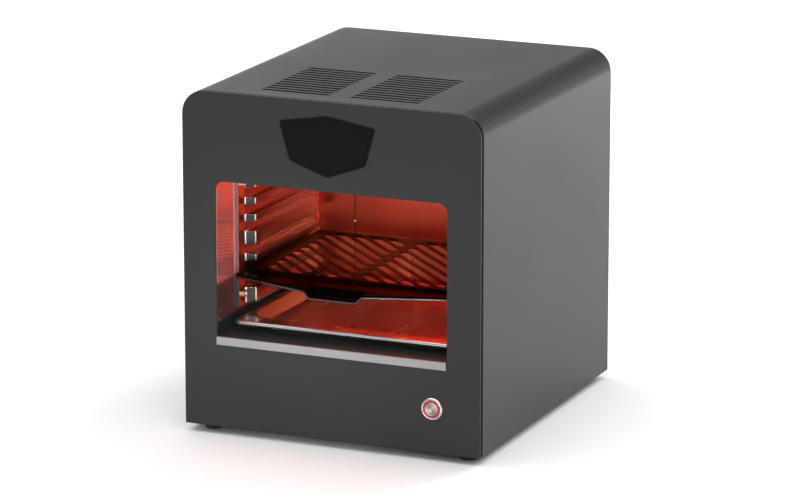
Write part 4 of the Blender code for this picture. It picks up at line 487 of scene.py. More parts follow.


# The walls carry painted shade, dark and clear, below the pan and painted red light, pink, above
# it; the back wall's red is the element's glow painted in, and it reddens upwards.
WALL_SHADE_LINE, BACK_GLOW_RISE = (0.166, 0.176), (0.180, 0.270)
polished = steel(
    "polished_steel_walls", (0.055, 0.075, 0.08), (0.05, 0.10), (1.0, 0.05, 1.0), 0.01,
    zones=[("Z", *WALL_SHADE_LINE, (0.92, 0.46, 0.42))],
)
dulled(polished, "Z", *WALL_SHADE_LINE, 0.6, 0.76)
back_steel = steel(
    "polished_steel_back", (0.62, 0.11, 0.06), (0.24, 0.36), (1.0, 1.0, 0.05), 0.05,
    zones=[("Z", *BACK_GLOW_RISE, (0.90, 0.17, 0.11))],
)
dulled(back_steel, "Z", *BACK_GLOW_RISE, 0.997, 0.994)
for side in ("left", "right"):
    dressed("cavity_side_" + side, polished)
dressed("cavity_back", back_steel)


def growth(name, inputs):
    """A geometry tree with its named inputs, and what it is given."""
    tree = bpy.data.node_groups.new(name, "GeometryNodeTree")
    ends = ("Geometry", "Geometry", None), ("Material", "Material", None)
    for label, kind, value in (ends[0], *inputs, ends[1]):
        socket = tree.interface.new_socket(label, in_out="INPUT", socket_type="NodeSocket" + kind)
        if value is not None:
            socket.default_value = value
    tree.interface.new_socket("Geometry", in_out="OUTPUT", socket_type="NodeSocketGeometry")
    return tree, tree.nodes.new("NodeGroupInput").outputs


def finished(tree, given, instances):
    """Realizes what the tree made and gives it its material."""
    real = node(tree, "GeometryNodeRealizeInstances", {0: instances}).outputs[0]
    finish = {"Geometry": real, "Material": given["Material"]}
    finish = node(tree, "GeometryNodeSetMaterial", finish)
    node(tree, "NodeGroupOutput", {0: finish.outputs[0]})
    return tree


def spread(tree, given, piece):
    """Puts the tree's piece on every point, turned as the tree is told."""
    values = {"Points": given["Geometry"], "Instance": piece, "Rotation": given["Turn"]}
    return finished(tree, given, node(tree, "GeometryNodeInstanceOnPoints", values).outputs[0])


def grown(name, points, tree, edges=(), edge=0.0, segments=2, **values):
    """A piece that a geometry tree makes from points or a path, as its own plain mesh."""
    mesh = bpy.data.meshes.new(name)
    mesh.from_pydata(points, edges, [])
    obj = linked(bpy.data.objects.new(name, mesh))
    grower = obj.modifiers.new("growth", "NODES")
    grower.node_group = tree
    for item in tree.interface.items_tree:
        label = item.name.replace(" ", "_")
        if item.in_out == "INPUT" and label in values:
            grower[item.identifier] = values[label]
    settle(obj)
    obj.data.shade_smooth()
    obj.data.set_sharp_from_angle(angle=SHARP)
    return rounded(obj, edge, segments) if edge else obj


NO_TURN = (0.0, 0.0, 0.0)


def rivet_tree():
    """Domed rivet heads on every point."""
    tree, given = growth(
        "rivet_heads",
        [("Head Radius", "Float", 0.002), ("Head Height", "Float", 0.001),
         ("Turn", "Vector", NO_TURN)],
    )
    ball = node(tree, "GeometryNodeMeshUVSphere", {"Segments": 24, "Rings": 12})
    sizes = {"X": given["Head Radius"], "Y": given["Head Radius"], "Z": given["Head Height"]}
    scale = node(tree, "ShaderNodeCombineXYZ", sizes).outputs[0]
    head = {"Geometry": ball.outputs["Mesh"], "Scale": scale}
    return spread(tree, given, node(tree, "GeometryNodeTransform", head).outputs[0])


rivet_heads = rivet_tree()
SEAM_X, BACK_FACE, RIVET_SINK = -0.090, 0.07085, 0.0004
rivet_steel = grained(
    "rivet_steel", (0.70, 0.66, 0.64), (0.2, 0.3), grain=500.0, bump=0.03, Metallic=1.0
)
rivet_heights = (0.140, 0.185, 0.230, 0.275)
rivet_places = [(SEAM_X, BACK_FACE - RIVET_SINK, height) for height in rivet_heights]
placed(
    grown("back_wall_rivets", rivet_places, rivet_heads, Head_Radius=0.0017, Head_Height=0.0009,
          Turn=(math.pi / 2, 0.0, 0.0), Material=rivet_steel),
)


def bridged(bm, rings):
    """Faces from each ring of corners to the next."""
    for first, second in zip(rings, rings[1:]):
        for index in range(len(first)):
            after = (index + 1) % len(first)
            bm.faces.new((first[index], first[after], second[after], second[index]))


# The seam is a dark joint, tinted red with the back wall's painted glow.
seam_steel = steel("seam_steel", (0.10, 0.045, 0.03), (0.3, 0.4), (1.0, 1.0, 0.05), 0.05)
bm = bmesh.new()
SEAM_HALF, SEAM_RISE = 0.0007, 0.0005
SEAM_CREST = SEAM_HALF * 0.6
SEAM_FOOT, SEAM_HEAD = 0.116, 0.304
section = [(SEAM_X - SEAM_HALF, BACK_FACE), (SEAM_X - SEAM_CREST, BACK_FACE - SEAM_RISE)]
section += [(SEAM_X + SEAM_CREST, BACK_FACE - SEAM_RISE), (SEAM_X + SEAM_HALF, BACK_FACE)]
rings = [[bm.verts.new((x, y, height)) for x, y in section] for height in (SEAM_FOOT, SEAM_HEAD)]
bm.faces.new(rings[0])
bm.faces.new(rings[1])
bridged(bm, rings)
bmesh.ops.recalc_face_normals(bm, faces=bm.faces)
placed(shape("back_wall_seam", bm, seam_steel))

# -----------------------------------------------------------------------------
# Racks: one pressed stainless sheet on each side, with seven rails embossed in it. A domed nut
# holds each rack at two places.
# -----------------------------------------------------------------------------
RACK_PLATE_PAINTED_GLOW = (0.42, 0.33, 0.31)
rack_steel = steel(
    "brushed_steel_racks", (0.56, 0.54, 0.53), (0.22, 0.30), (1.0, 0.04, 1.0), 0.010,
    zones=[
        # From the front to the back: a painted reflection of the dark room on the beads' front
        # ramps, and the beads behind them, faintly tinted by painted red light.
        ("Y", -0.1262, -0.1259, (0.040, 0.043, 0.040)),
        ("Y", -0.1219, -0.1216, (0.60, 0.50, 0.48)),
        # By the way a face looks: painted red light on the upright plate, painted orange
        # highlights on the beads' slopes, and a painted dark reflection on their level tops.
        ("FX", 0.90, 0.96, RACK_PLATE_PAINTED_GLOW),
        ("FX", -0.90, -0.96, RACK_PLATE_PAINTED_GLOW),
        ("FZ", 0.15, 0.30, (1.0, 0.60, 0.40)),
        ("FZ", 0.80, 0.92, (0.12, 0.17, 0.19)),
        # Ahead of the beads: the plate in painted orange light, and the flange at its front.
        ("Y", -0.1273, -0.1277, (0.95, 0.42, 0.24)),
        ("Y", -0.1449, -0.1453, (0.26, 0.25, 0.25)),
    ],
)
for side in ("left", "right"):
    dressed("rack_" + side, rack_steel, 0.0006, segments=3)
nut_steel = grained(
    "polished_steel_nuts", (0.72, 0.71, 0.70), (0.1, 0.18), grain=400.0, bump=0.02, Metallic=1.0
)


def cap_nut_tree():
    """Domed cap nuts on every point: a hexagon, a round dome on it and a threaded shank behind."""
    tree, given = growth(
        "cap_nuts",
        [("Corner Radius", "Float", 0.00433), ("Nut Height", "Float", 0.0034),
         ("Dome Radius", "Float", 0.0032), ("Shank Radius", "Float", 0.0018),
         ("Shank Length", "Float", 0.0061), ("Turn", "Vector", NO_TURN)],
    )
    pieces = node(tree, "GeometryNodeJoinGeometry")
    for kind, radius, length, sides, share in (
        ("Cylinder", "Corner Radius", "Nut Height", 6, 0.5),
        ("Cylinder", "Shank Radius", "Shank Length", 24, -0.5),
        ("UVSphere", "Dome Radius", "Nut Height", 32, 1.0),
    ):
        if kind == "Cylinder":
            sizes = {"Vertices": sides, "Radius": given[radius], "Depth": given[length]}
        else:
            sizes = {"Segments": sides, "Radius": given[radius]}
        made = node(tree, "GeometryNodeMesh" + kind, sizes)
        height = node(tree, "ShaderNodeMath", {0: given[length], 1: share}, operation="MULTIPLY")
        lift = node(tree, "ShaderNodeCombineXYZ", {"Z": height.outputs[0]})
        moved = {"Geometry": made.outputs["Mesh"], "Translation": lift.outputs[0]}
        moved = node(tree, "GeometryNodeTransform", moved)
        tree.links.new(moved.outputs[0], pieces.inputs[0])
    return spread(tree, given, pieces.outputs[0])


cap_nuts = cap_nut_tree()
NUT_SEAT, NUT_Y, NUT_LOW, NUT_HIGH = 0.1347, -0.13265, 0.1450, 0.2695
for side, turn in (("left", 1.0), ("right", -1.0)):
    nut_places = [(-turn * NUT_SEAT, NUT_Y, height) for height in (NUT_LOW, NUT_HIGH)]
    nuts = grown(
        "rack_nuts_" + side, nut_places, cap_nuts, edge=0.0003,
        Turn=(0.0, turn * math.pi / 2, 0.0), Material=nut_steel,
    )
    placed(nuts, [f"rack_nut_{side}_lower", f"rack_nut_{side}_upper"])

# -----------------------------------------------------------------------------
# The heat: a sheathed element bent to and fro, hung in two zinc-plated combs under a polished
# reflector, with mineral wool and a heat shield above it.
# -----------------------------------------------------------------------------
# The reflector takes the walls' steel, and with it their painted red light above the pan.
dressed("ceiling_reflector", polished)
wool = grained("mineral_wool", (0.62, 0.56, 0.42), (0.9, 1.0), (0.7, 1.2), grain=500.0, bump=0.9)
dressed("insulation_blanket", wool, 0.001)
dressed("heat_shield", zinc)
for place in ("front", "rear"):
    dressed("element_comb_" + place, zinc)
ceramic = grained("ceramic", (0.84, 0.81, 0.75), (0.45, 0.6), grain=1800.0, bump=0.15)
bushing = [(0.0043, -0.0014), (0.0058, -0.0014), (0.0058, 0.0011), (0.0082, 0.0011)]
bushing += [(0.0082, 0.0024), (0.0074, 0.0026), (0.0074, 0.0029), (0.0080, 0.0031)]
bushing += [(0.0062, 0.0041), (0.0043, 0.0041)]
radii = (0.0003, 0.0004, 0.0003, 0.0003, 0.0002, 0.0001, 0.0001, 0.0005, 0.0004, 0.0003)
bushing = softened(bushing, radii, 3, True)
ELEMENT_SIDE, ELEMENT_HEIGHT = 0.105, 0.2965
for side, x in (("left", -ELEMENT_SIDE), ("right", ELEMENT_SIDE)):
    ring = turned(bushing, (x, BACK_FACE, ELEMENT_HEIGHT), "Y", 48, True)
    made = shape("ceramic_bushing_" + side, ring, ceramic)
    placed(made, ["element_bushing_" + side])


def glowing(material, colour, strength):
    """Lets a material give light of its own."""
    shader = material.node_tree.nodes["Principled BSDF"]
    shader.inputs["Emission Color"].default_value = (*colour, 1.0)
    shader.inputs["Emission Strength"].default_value = strength


element_sheath = grained(
    "element_sheath", (0.25, 0.08, 0.05), (0.5, 0.7), grain=1200.0, bump=0.2, Metallic=0.4
)
glowing(element_sheath, (1.0, 0.10, 0.025), 5.0)


def tube_tree():
    """A round bar that follows the piece's own path of edges."""
    tree, given = growth(
        "round_bar_on_path",
        [("Bar Radius", "Float", 0.001), ("Bend Radius", "Float", 0.003),
         ("Bar Sides", "Int", 16), ("Bend Steps", "Int", 8)],
    )
    path = node(tree, "GeometryNodeMeshToCurve", {"Mesh": given["Geometry"]}).outputs[0]
    bend = {"Curve": path, "Radius": given["Bend Radius"], "Count": given["Bend Steps"]}
    bend = node(tree, "GeometryNodeFilletCurve", bend, mode="POLY").outputs[0]
    circle = {"Radius": given["Bar Radius"], "Resolution": given["Bar Sides"]}
    circle = node(tree, "GeometryNodeCurvePrimitiveCircle", circle).outputs["Curve"]
    sweep = {"Curve": bend, "Profile Curve": circle, "Fill Caps": True}
    return finished(tree, given, node(tree, "GeometryNodeCurveToMesh", sweep).outputs[0])


round_bar = tube_tree()

ELEMENT_LEGS, ELEMENT_PITCH, ELEMENT_END = 8, 0.030, 0.10485
BEND_FRONT, BEND_REAR = -0.17065, 0.05985
element_path = [(-ELEMENT_SIDE, ELEMENT_END, ELEMENT_HEIGHT)]
for bend in range(ELEMENT_LEGS - 1):
    y = BEND_FRONT if bend % 2 == 0 else BEND_REAR
    for leg in (bend, bend + 1):
        element_path.append((-ELEMENT_SIDE + ELEMENT_PITCH * leg, y, ELEMENT_HEIGHT))
element_path.append((ELEMENT_SIDE, ELEMENT_END, ELEMENT_HEIGHT))


def chained(path):
    """The edges that join each point of a path to the next."""
    return [(index, index + 1) for index in range(len(path) - 1)]


element = grown(
    "sheathed_element", element_path, round_bar, chained(element_path),
    Bar_Radius=0.004, Bend_Radius=0.01495, Bar_Sides=20, Bend_Steps=10, Material=element_sheath,
)
placed(element, ["heating_element"])
# The light that the hot bars throw down starts just below them.
GLOW_RED, GLOW_PLACE, GLOW_AIM = (1.0, 0.13, 0.04), (0.0, -0.05, 0.288), (0.0, 0.02, 0.10)
element_glow = softbox("element_glow", 17.0, 0.20, GLOW_PLACE, GLOW_AIM, GLOW_RED)
element_glow.data.spread = math.radians(84.0)
element_glow.visible_camera = False
element_glow.visible_glossy = False

# -----------------------------------------------------------------------------
# Front: a folded frame inside the wrapper, and the thick panel that stands ahead of it on four
# welded studs, both in the casing's grey powder coat.
# -----------------------------------------------------------------------------
COAT_GREY = (0.030, 0.030, 0.0318)


def coat(name, zones=()):
    """The casing's grey powder coat."""
    return grained(
        name, COAT_GREY, (0.28, 0.33), (0.96, 1.04), grain=1300.0, bump=0.10, zones=zones,
        Specular_IOR_Level=0.21,
    )


powder_coat = coat("grey_powder_coat")
dressed("front_frame", powder_coat)
dressed("front_panel", powder_coat, 0.0005, segments=3)

# -----------------------------------------------------------------------------
# Badge: a plain six-sided plate in gloss black.
# -----------------------------------------------------------------------------
gloss_black = grained(
    "gloss_black", (0.006, 0.006, 0.0055), (0.30, 0.38), grain=700.0, bump=0.02,
    Specular_IOR_Level=0.06,
)
BADGE_CORNER, LEAST_CORNER = 0.0030, 0.0008
BADGE_RIM, BADGE_GROOVE, BADGE_STEP = 0.0022, 0.0009, 0.00025
BADGE_EDGE, BADGE_SLOPE, LEAST_SHARE = 0.0003, 0.0002, 0.2
front_faces = merged("badge_plate")
front_faces.normal_update()
outline_face = max(front_faces.faces, key=lambda face: -face.normal.y * face.calc_area())
badge_outline = [(corner.co.x, corner.co.z) for corner in outline_face.verts]
front_faces.free()
badge_low, badge_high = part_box("badge_plate")


def inset_outline(outline, inset):
    """A polygon moved inwards by an even distance."""
    moved = []
    turn = sum(a[0] * b[1] - b[0] * a[1] for a, b in zip(outline, outline[1:] + outline[:1]))
    inset = math.copysign(inset, turn)
    for index, corner in enumerate(outline):
        before, after = Vector(outline[index - 1]), Vector(outline[(index + 1) % len(outline)])
        corner = Vector(corner)
        first, second = (corner - before).normalized(), (after - corner).normalized()
        inward = Vector((-second.y, second.x))
        bisector = Vector((-first.y, first.x)) + inward
        bisector.normalize()
        moved.append(tuple(corner + bisector * inset / max(LEAST_SHARE, bisector.dot(inward))))
    return moved


def badge_ring(inset):
    """The badge's outline, moved inwards, with its corners rounded."""
    outline = inset_outline(badge_outline, inset)
    radius = max(BADGE_CORNER - inset, LEAST_CORNER)
    return softened(outline, [radius] * len(outline), 6, True)


bm = bmesh.new()
rings = []
badge_face, badge_floor = badge_low.y, badge_low.y + BADGE_STEP
groove_end = BADGE_RIM + BADGE_GROOVE
for inset, y in (
    (0.0, badge_high.y), (0.0, badge_face + BADGE_EDGE), (BADGE_EDGE, badge_face),
    (BADGE_RIM, badge_face), (BADGE_RIM + BADGE_SLOPE, badge_floor),
    (groove_end, badge_floor), (groove_end + BADGE_SLOPE, badge_face),
):
    rings.append([bm.verts.new((x, y, z)) for x, z in badge_ring(inset)])
bridged(bm, rings)
bm.faces.new(rings[0])
bm.faces.new(rings[-1])
bmesh.ops.recalc_face_normals(bm, faces=bm.faces)
placed(shape("badge", bm, gloss_black), ["badge_plate"])

# -----------------------------------------------------------------------------
# Push switch: a turned steel body with a lit ring round a sprung steel cap, held by a nut.
# -----------------------------------------------------------------------------


def spun_effect():
    """Fine rings of a face turned on a lathe, with lighter and darker wedges painted on them as
    painted highlights.
    """
    group, given, gives = effect(
        "spun_rings",
        {"Ring Scale": 4000.0},
        {"Tone": (0.9, 1.05), "Sector": (0.95, 1.05), "Rough": (0.2, 0.3)},
    )
    flat = {0: given["Vector"], 1: (1.0, 0.0, 1.0)}
    flat = node(group, "ShaderNodeVectorMath", flat, operation="MULTIPLY").outputs[0]
    length = node(group, "ShaderNodeVectorMath", {0: flat}, operation="LENGTH").outputs["Value"]
    rings = {"W": length, "Scale": given["Ring Scale"], "Detail": 2.0, "Roughness": 0.6}
    rings = node(group, "ShaderNodeTexNoise", rings, noise_dimensions="1D").outputs["Fac"]
    split = node(group, "ShaderNodeSeparateXYZ", {0: flat}).outputs
    angle = node(group, "ShaderNodeMath", {0: split["Z"], 1: split["X"]}, operation="ARCTAN2")
    double = node(group, "ShaderNodeMath", {0: angle.outputs[0], 1: 2.0}, operation="MULTIPLY")
    wave = node(group, "ShaderNodeMath", {0: double.outputs[0]}, operation="SINE").outputs[0]
    glint = ranged(group, given, "Sector", wave, -1.0, 1.0)
    both = {0: ranged(group, given, "Tone", rings), 1: glint}
    both = node(group, "ShaderNodeMath", both, operation="MULTIPLY").outputs[0]
    return ended(group, gives, rings, both, ranged(group, given, "Rough", rings))


SWITCH_CENTRE = (0.1195, -0.19765, 0.0585)
spun_rings = spun_effect()


def turned_finish(name, colour, glints):
    """Steel turned on a lathe round the switch's own axis."""
    material = with_effect(
        surface(name, colour, 0.2, 1.0), spun_rings, colour, bump=0.25, depth=0.00003,
        Tone_Low=0.86, Tone_High=1.06, Sector_Low=glints[0], Sector_High=glints[1],
        Rough_Low=0.16, Rough_High=0.28,
    )
    tree = material.node_tree
    for part in tree.nodes:
        if part.type == "MAPPING":
            part.inputs["Location"].default_value = tuple(-value for value in SWITCH_CENTRE)
    shader = tree.nodes["Principled BSDF"]
    shader.inputs["Anisotropic"].default_value = 0.75
    round_axis = node(tree, "ShaderNodeTangent", direction_type="RADIAL", axis="Y")
    tree.links.new(round_axis.outputs[0], shader.inputs["Tangent"])
    return material


# Both steels carry painted highlight wedges, the cap's stronger.
turned_steel = turned_finish("turned_steel", (0.68, 0.68, 0.67), (0.85, 1.15))
# The cap's pink tint is a painted reflection of the lit red ring.
cap_steel = turned_finish("turned_steel_cap", (0.52, 0.42, 0.41), (0.60, 1.40))
SWITCH_FACE = -0.0027
barrel = [
    (0.0112, SWITCH_FACE), (0.0125, SWITCH_FACE + 0.0012), (0.0125, -0.0003), (0.0108, -0.0003),
    (0.0108, 0.030), (0.0092, 0.030), (0.0092, 0.0158), (0.0023, 0.0158), (0.0023, 0.0143),
    (0.0079, 0.0143), (0.0079, 0.0003), (0.0098, 0.0003), (0.0098, SWITCH_FACE + 0.0006),
    (0.0103, SWITCH_FACE),
]
radii = (0.0006, 0.0005, 0.0002, 0, 0.0002, 0, 0, 0, 0, 0, 0, 0, 0.0002, 0.0003)
barrel = turned(softened(barrel, radii, 4, True), SWITCH_CENTRE, "Y", 72, True)
barrel = shape("switch_bezel_and_barrel", barrel, turned_steel)
placed(barrel, ["switch_body"])

CAP_DISH, CAP_STEPS = 0.0065, 8
cap = []
for step in range(CAP_STEPS + 1):
    share = step / CAP_STEPS
    cap.append((CAP_DISH * share, -0.0018 - 0.0012 * share**2))
cap += [(0.0076, -0.0030), (0.0076, 0.0015), (0.0020, 0.0015), (0.0020, 0.0183), (0.0, 0.0183)]
cap = softened(cap, [0] * CAP_STEPS + [0.0003, 0.0005, 0.0002, 0, 0.0003, 0], 4)
cap = shape("push_cap", turned(cap, SWITCH_CENTRE, "Y", 72), cap_steel)
placed(cap, ["button_cap"], "button")
dressed("switch_nut", turned_steel)

# The spring keeps its CAD shape, because it shortens with the cap, and gets its finish here.
spring_steel = grained(
    "spring_steel", (0.45, 0.45, 0.46), (0.25, 0.35), grain=900.0, bump=0.03, Metallic=1.0
)
spring_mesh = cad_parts["button_spring"].data
spring_mesh.materials.clear()
spring_mesh.materials.append(spring_steel)

red_lens = grained("red_lens", (0.45, 0.012, 0.012), (0.15, 0.25), grain=700.0, bump=0.02)
glowing(red_lens, (1.0, 0.06, 0.05), 0.10)
lens = [(0.0079, -0.0024), (0.0096, -0.0024), (0.0096, 0.0), (0.0079, 0.0)]
lens = softened(lens, (0.0002, 0.0005, 0.0001, 0.0001), 4, True)
lens = shape("lit_ring", turned(lens, SWITCH_CENTRE, "Y", 72, True), red_lens)
placed(lens, ["button_light_ring"])
black_plastic = grained("black_plastic", (0.02, 0.02, 0.021), (0.4, 0.5), grain=1600.0, bump=0.1)
dressed("switch_insert", black_plastic)

# -----------------------------------------------------------------------------
# Casing: one folded powder-coated sheet for both sides and the top, closed by the rear panel.
# -----------------------------------------------------------------------------
SLOT_PAINTED_SHADE, EDGE_PAINTED_LIGHT = (0.003, 0.003, 0.003), (0.17, 0.17, 0.175)
# Painted shade on the slots' rear walls, and painted light that makes the front edge paler, but
# only along the top.
casing_zones = [("FY", -0.90, -0.97, SLOT_PAINTED_SHADE), ("Y", -0.1896, -0.1900, EDGE_PAINTED_LIGHT)]
casing_zones.append(("Z", 0.381, 0.375, COAT_GREY))
casing_coat = coat("grey_powder_coat_casing", casing_zones)
dressed("outer_shell", casing_coat, 0.0004, segments=3)
dressed("rear_panel", powder_coat)
HEAD_HEIGHT, SHANK_DROP = 0.0022, 0.0003


def screw_tree():
    """Pan-head screws on every point: a shank, and a head with a cross recess cut into it."""
    tree, given = growth(
        "pan_head_screws",
        [("Head Radius", "Float", 0.0036), ("Head Height", "Float", HEAD_HEIGHT),
         ("Shank Radius", "Float", 0.0017), ("Shank Length", "Float", 0.008),
         ("Recess Width", "Float", 0.0009), ("Recess Length", "Float", 0.0042),
         ("Recess Depth", "Float", 0.0012), ("Turn", "Vector", NO_TURN)],
    )
    high, long = given["Head Height"], given["Shank Length"]

    def maths(operation, first, second):
        return node(tree, "ShaderNodeMath", {0: first, 1: second}, operation=operation).outputs[0]

    def moved(made, height):
        lift = node(tree, "ShaderNodeCombineXYZ", {"Z": height}).outputs[0]
        values = {"Geometry": made.outputs["Mesh"], "Translation": lift}
        return node(tree, "GeometryNodeTransform", values).outputs[0]

    head = {"Vertices": 36, "Radius": given["Head Radius"], "Depth": high}
    head = node(tree, "GeometryNodeMeshCylinder", head)
    shank = {"Vertices": 20, "Radius": given["Shank Radius"], "Depth": maths("ADD", long, high)}
    shank = node(tree, "GeometryNodeMeshCylinder", shank)
    body = node(tree, "GeometryNodeMeshBoolean", operation="UNION", solver="EXACT")
    tree.links.new(moved(head, maths("MULTIPLY", high, 0.5)), body.inputs["Mesh 2"])
    middle = maths("MULTIPLY", maths("SUBTRACT", high, long), 0.5)
    tree.links.new(moved(shank, maths("SUBTRACT", middle, SHANK_DROP)), body.inputs["Mesh 2"])
    cut = node(tree, "GeometryNodeMeshBoolean", operation="DIFFERENCE", solver="EXACT")
    tree.links.new(body.outputs["Mesh"], cut.inputs["Mesh 1"])
    for x, y in (("Recess Width", "Recess Length"), ("Recess Length", "Recess Width")):
        deep = maths("MULTIPLY", given["Recess Depth"], 2.0)
        size = node(tree, "ShaderNodeCombineXYZ", {"X": given[x], "Y": given[y], "Z": deep})
        slot = node(tree, "GeometryNodeMeshCube", {"Size": size.outputs[0]})
        tree.links.new(moved(slot, high), cut.inputs["Mesh 2"])
    return spread(tree, given, cut.outputs["Mesh"])


pan_head_screws = screw_tree()


def driven(name, screws, axis, turn):
    """A group of screws where the CAD's screws are, their heads to the back or downwards."""
    places = []
    for screw in screws:
        low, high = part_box(screw)
        x, y, z = (low.x + high.x) / 2, (low.y + high.y) / 2, (low.z + high.z) / 2
        if axis == "Y":
            y = high.y - HEAD_HEIGHT
        else:
            z = low.z + HEAD_HEIGHT
        places.append((x, y, z))
    made = grown(
        name, places, pan_head_screws, edge=0.00035, segments=3, Turn=turn, Material=zinc
    )
    placed(made, screws)


rear_screws = []
for row in ("low", "middle", "top"):
    rear_screws += [f"rear_screw_{row}_left", f"rear_screw_{row}_right"]
driven("rear_screws", rear_screws, "Y", (-math.pi / 2, 0.0, 0.0))
driven("base_screws", ["base_screw_" + place for place in CORNERS], "Z", (math.pi, 0.0, 0.0))

# -----------------------------------------------------------------------------
# Wiring behind and below: relay board, terminal block, safety cut-out, cord gland and leads.
# -----------------------------------------------------------------------------
board_green = grained(
    "green_board", (0.015, 0.15, 0.055), (0.25, 0.4), (0.8, 1.2), grain=500.0, bump=0.05
)
white_plastic = grained("white_plastic", (0.78, 0.77, 0.73), (0.4, 0.5), grain=1600.0, bump=0.08)
dressed("relay_board", board_green)
dressed("power_relay", black_plastic)
dressed("terminal_block", white_plastic)
dressed("thermal_cutout", white_plastic)
GLAND_CENTRE = (0.110, 0.18735, 0.043)
RIDGES, RIDGE_PITCH = 6, 0.0016
gland = [(0.0042, -0.0112)]
for ridge in range(RIDGES):
    gland.append((0.0074, -0.0110 + RIDGE_PITCH * ridge))
    gland.append((0.0078, -0.0102 + RIDGE_PITCH * ridge))
gland += [(0.0078, 0.0006), (0.0095, 0.0064), (0.0095, 0.0098), (0.0072, 0.0133)]
gland += [(0.0052, 0.0133), (0.0042, 0.0122)]
radii = [0.0] * (2 * RIDGES + 2) + [0.0003, 0.0016, 0.0006, 0.0004, 0.0002]
gland = turned(softened(gland, radii, 4, True), GLAND_CENTRE, "Y", 60, True)
grip = [(0.0060, 0.0003), (0.0118, 0.0003), (0.0127, 0.0009)]
grip += [(0.0127, 0.0057), (0.0118, 0.0063), (0.0060, 0.0063)]
hexagon = turned(grip, GLAND_CENTRE, "Y", 6, True)
hexagon_mesh = bpy.data.meshes.new("gland_hexagon")
hexagon.to_mesh(hexagon_mesh)
hexagon.free()
gland.from_mesh(hexagon_mesh)
placed(shape("cord_gland", gland, black_plastic), ["cable_gland"])
dressed("gland_nut", black_plastic)
SLEEVES = {"blue": (0.02, 0.10, 0.45), "brown": (0.16, 0.07, 0.03), "red": (0.50, 0.03, 0.02)}
for name, colour in (
    ("lead_neutral", "blue"), ("lead_supply", "brown"), ("lead_cutout", "brown"),
    ("lead_element", "red"), ("lead_switch", "red"),
):
    sleeve = grained(name + "_sleeve", SLEEVES[colour], (0.45, 0.6), grain=1400.0, bump=0.1)
    dressed(name, sleeve, 0.0, sharp=math.radians(75.0))

# -----------------------------------------------------------------------------
# Grill pan: pressed steel in gloss black enamel, with its front edge rolled under.
# -----------------------------------------------------------------------------
enamel = grained(
    "black_enamel", (0.0005, 0.0005, 0.0005), (0.16, 0.22), grain=260.0, bump=0.02,
    Specular_IOR_Level=0.004,
)
dressed("grill_pan", enamel, 0.0005, "grill_pan", 3)

PAN_TOP, PAN_SKIRT, PAN_SIDE, TAB_DROP = 0.1738, 0.0045, 0.130, 0.0065
EDGE_START, APRON_START = -0.150, -0.16115
TAB_ROOT, TAB_CORNER = (-0.034, -0.19215), (-0.027, -0.19415)
EDGE_BAR, EDGE_SET = 0.0013, 0.0009
edge_height = PAN_TOP - PAN_SKIRT + EDGE_BAR
tab_height = edge_height - TAB_DROP
edge_path = [(-PAN_SIDE + EDGE_SET, y, edge_height) for y in (EDGE_START, APRON_START)]
edge_path.append((TAB_ROOT[0], TAB_ROOT[1] + EDGE_SET, edge_height))
edge_path.append((TAB_CORNER[0], TAB_CORNER[1] + EDGE_SET, tab_height))
edge_path += [(-x, y, z) for x, y, z in reversed(edge_path)]
edge_enamel = grained(
    "black_enamel_edge", (0.004, 0.0038, 0.0038), (0.12, 0.2), grain=260.0, bump=0.02,
    Specular_IOR_Level=1.0,
)
edge = grown(
    "pan_rolled_edge", edge_path, round_bar, chained(edge_path),
    Bar_Radius=EDGE_BAR, Bend_Radius=0.004, Material=edge_enamel,
)
placed(edge, body="grill_pan")

# -----------------------------------------------------------------------------
# Drip tray: bright pressed stainless tray with a turned rim.
# -----------------------------------------------------------------------------
# The left wall, which looks to the right, is darker and clearer, a painted reflection of the pan's
# dark underside.
LEFT_WALL = (0.35, 0.60)
tray_steel = steel(
    "polished_steel_tray", (0.60, 0.58, 0.57), (0.24, 0.32), (1.0, 0.06, 1.0), 0.02,
    zones=[("FX", *LEFT_WALL, (0.16, 0.21, 0.22))],
)
dulled(tray_steel, "FX", *LEFT_WALL, 1.0, 0.92)


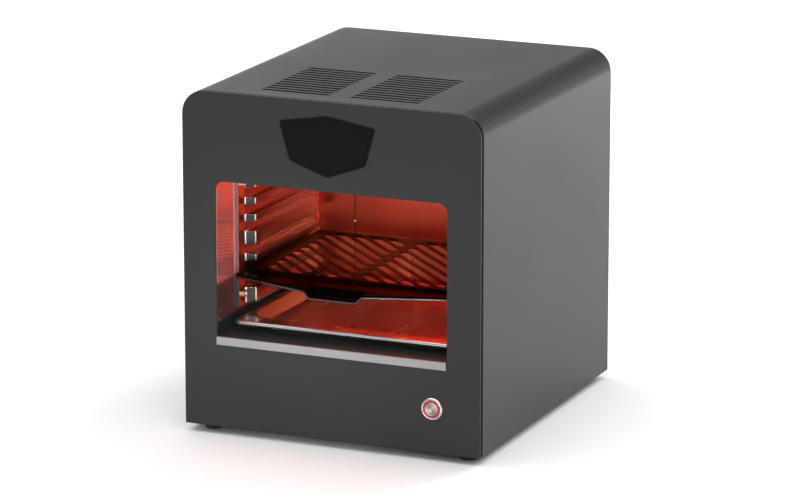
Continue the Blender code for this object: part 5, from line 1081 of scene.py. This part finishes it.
def rounded_loop(half, front, rear, radius, height, steps=12):
    """Points round a rectangle with round corners, at one height."""
    points = []
    corners = ((half, rear, 0), (-half, rear, 90), (-half, front, 180), (half, front, 270))
    for x, y, start in corners:
        middle_x = x - math.copysign(radius, x)
        middle_y = y - radius if y == rear else y + radius
        for index in range(steps + 1):
            angle = math.radians(start + 90.0 * index / steps)
            x_out, y_out = radius * math.cos(angle), radius * math.sin(angle)
            points.append((middle_x + x_out, middle_y + y_out, height))
    return points


TRAY_HALF = 0.130
TRAY_FRONT, TRAY_REAR = -0.17115, 0.06385
TRAY_TOP, TRAY_FLOOR = 0.1243, 0.1126
TRAY_ROLL, TRAY_TURN = 0.0030, 0.0050
TRAY_CORNER, TRAY_WELL_CORNER = 0.009, 0.026
TRAY_RIM, TRAY_FRONT_RIM, TRAY_SHEET = 0.008, 0.022, 0.0008
tray_rings = [(0.0, 0.0, 0.0, TRAY_CORNER, TRAY_TOP - TRAY_TURN)]
for degrees in range(0, 91, 15):
    inset = TRAY_ROLL * (1.0 - math.cos(math.radians(degrees)))
    height = TRAY_TOP - TRAY_ROLL + TRAY_ROLL * math.sin(math.radians(degrees))
    tray_rings.append((inset, inset, inset, TRAY_CORNER - inset, height))
well = [(-0.004, TRAY_TOP), (0.0, TRAY_TOP), (0.012, TRAY_FLOOR), (0.020, TRAY_FLOOR)]
for run, height in softened(well, (0, 0.0025, 0.004, 0), 6):
    rim, front_rim = TRAY_RIM + run, TRAY_FRONT_RIM + run
    tray_rings.append((rim, front_rim, rim, TRAY_WELL_CORNER - run, height))
bm = bmesh.new()
rings = []
for side, front, rear, radius, height in tray_rings:
    loop = rounded_loop(TRAY_HALF - side, TRAY_FRONT + front, TRAY_REAR - rear, radius, height)
    rings.append([bm.verts.new(point) for point in loop])
bridged(bm, rings)
bm.faces.new(rings[-1])
bmesh.ops.recalc_face_normals(bm, faces=bm.faces)
if sum(face.normal.z * face.calc_area() for face in bm.faces) < 0.0:
    bmesh.ops.reverse_faces(bm, faces=bm.faces)
tray = shape("drip_tray_pressing", bm, tray_steel)
wall = tray.modifiers.new("sheet", "SOLIDIFY")
wall.thickness = TRAY_SHEET
wall.offset = -1.0
placed(facing_marked(settle(tray)), ["drip_tray"], "drip_tray")
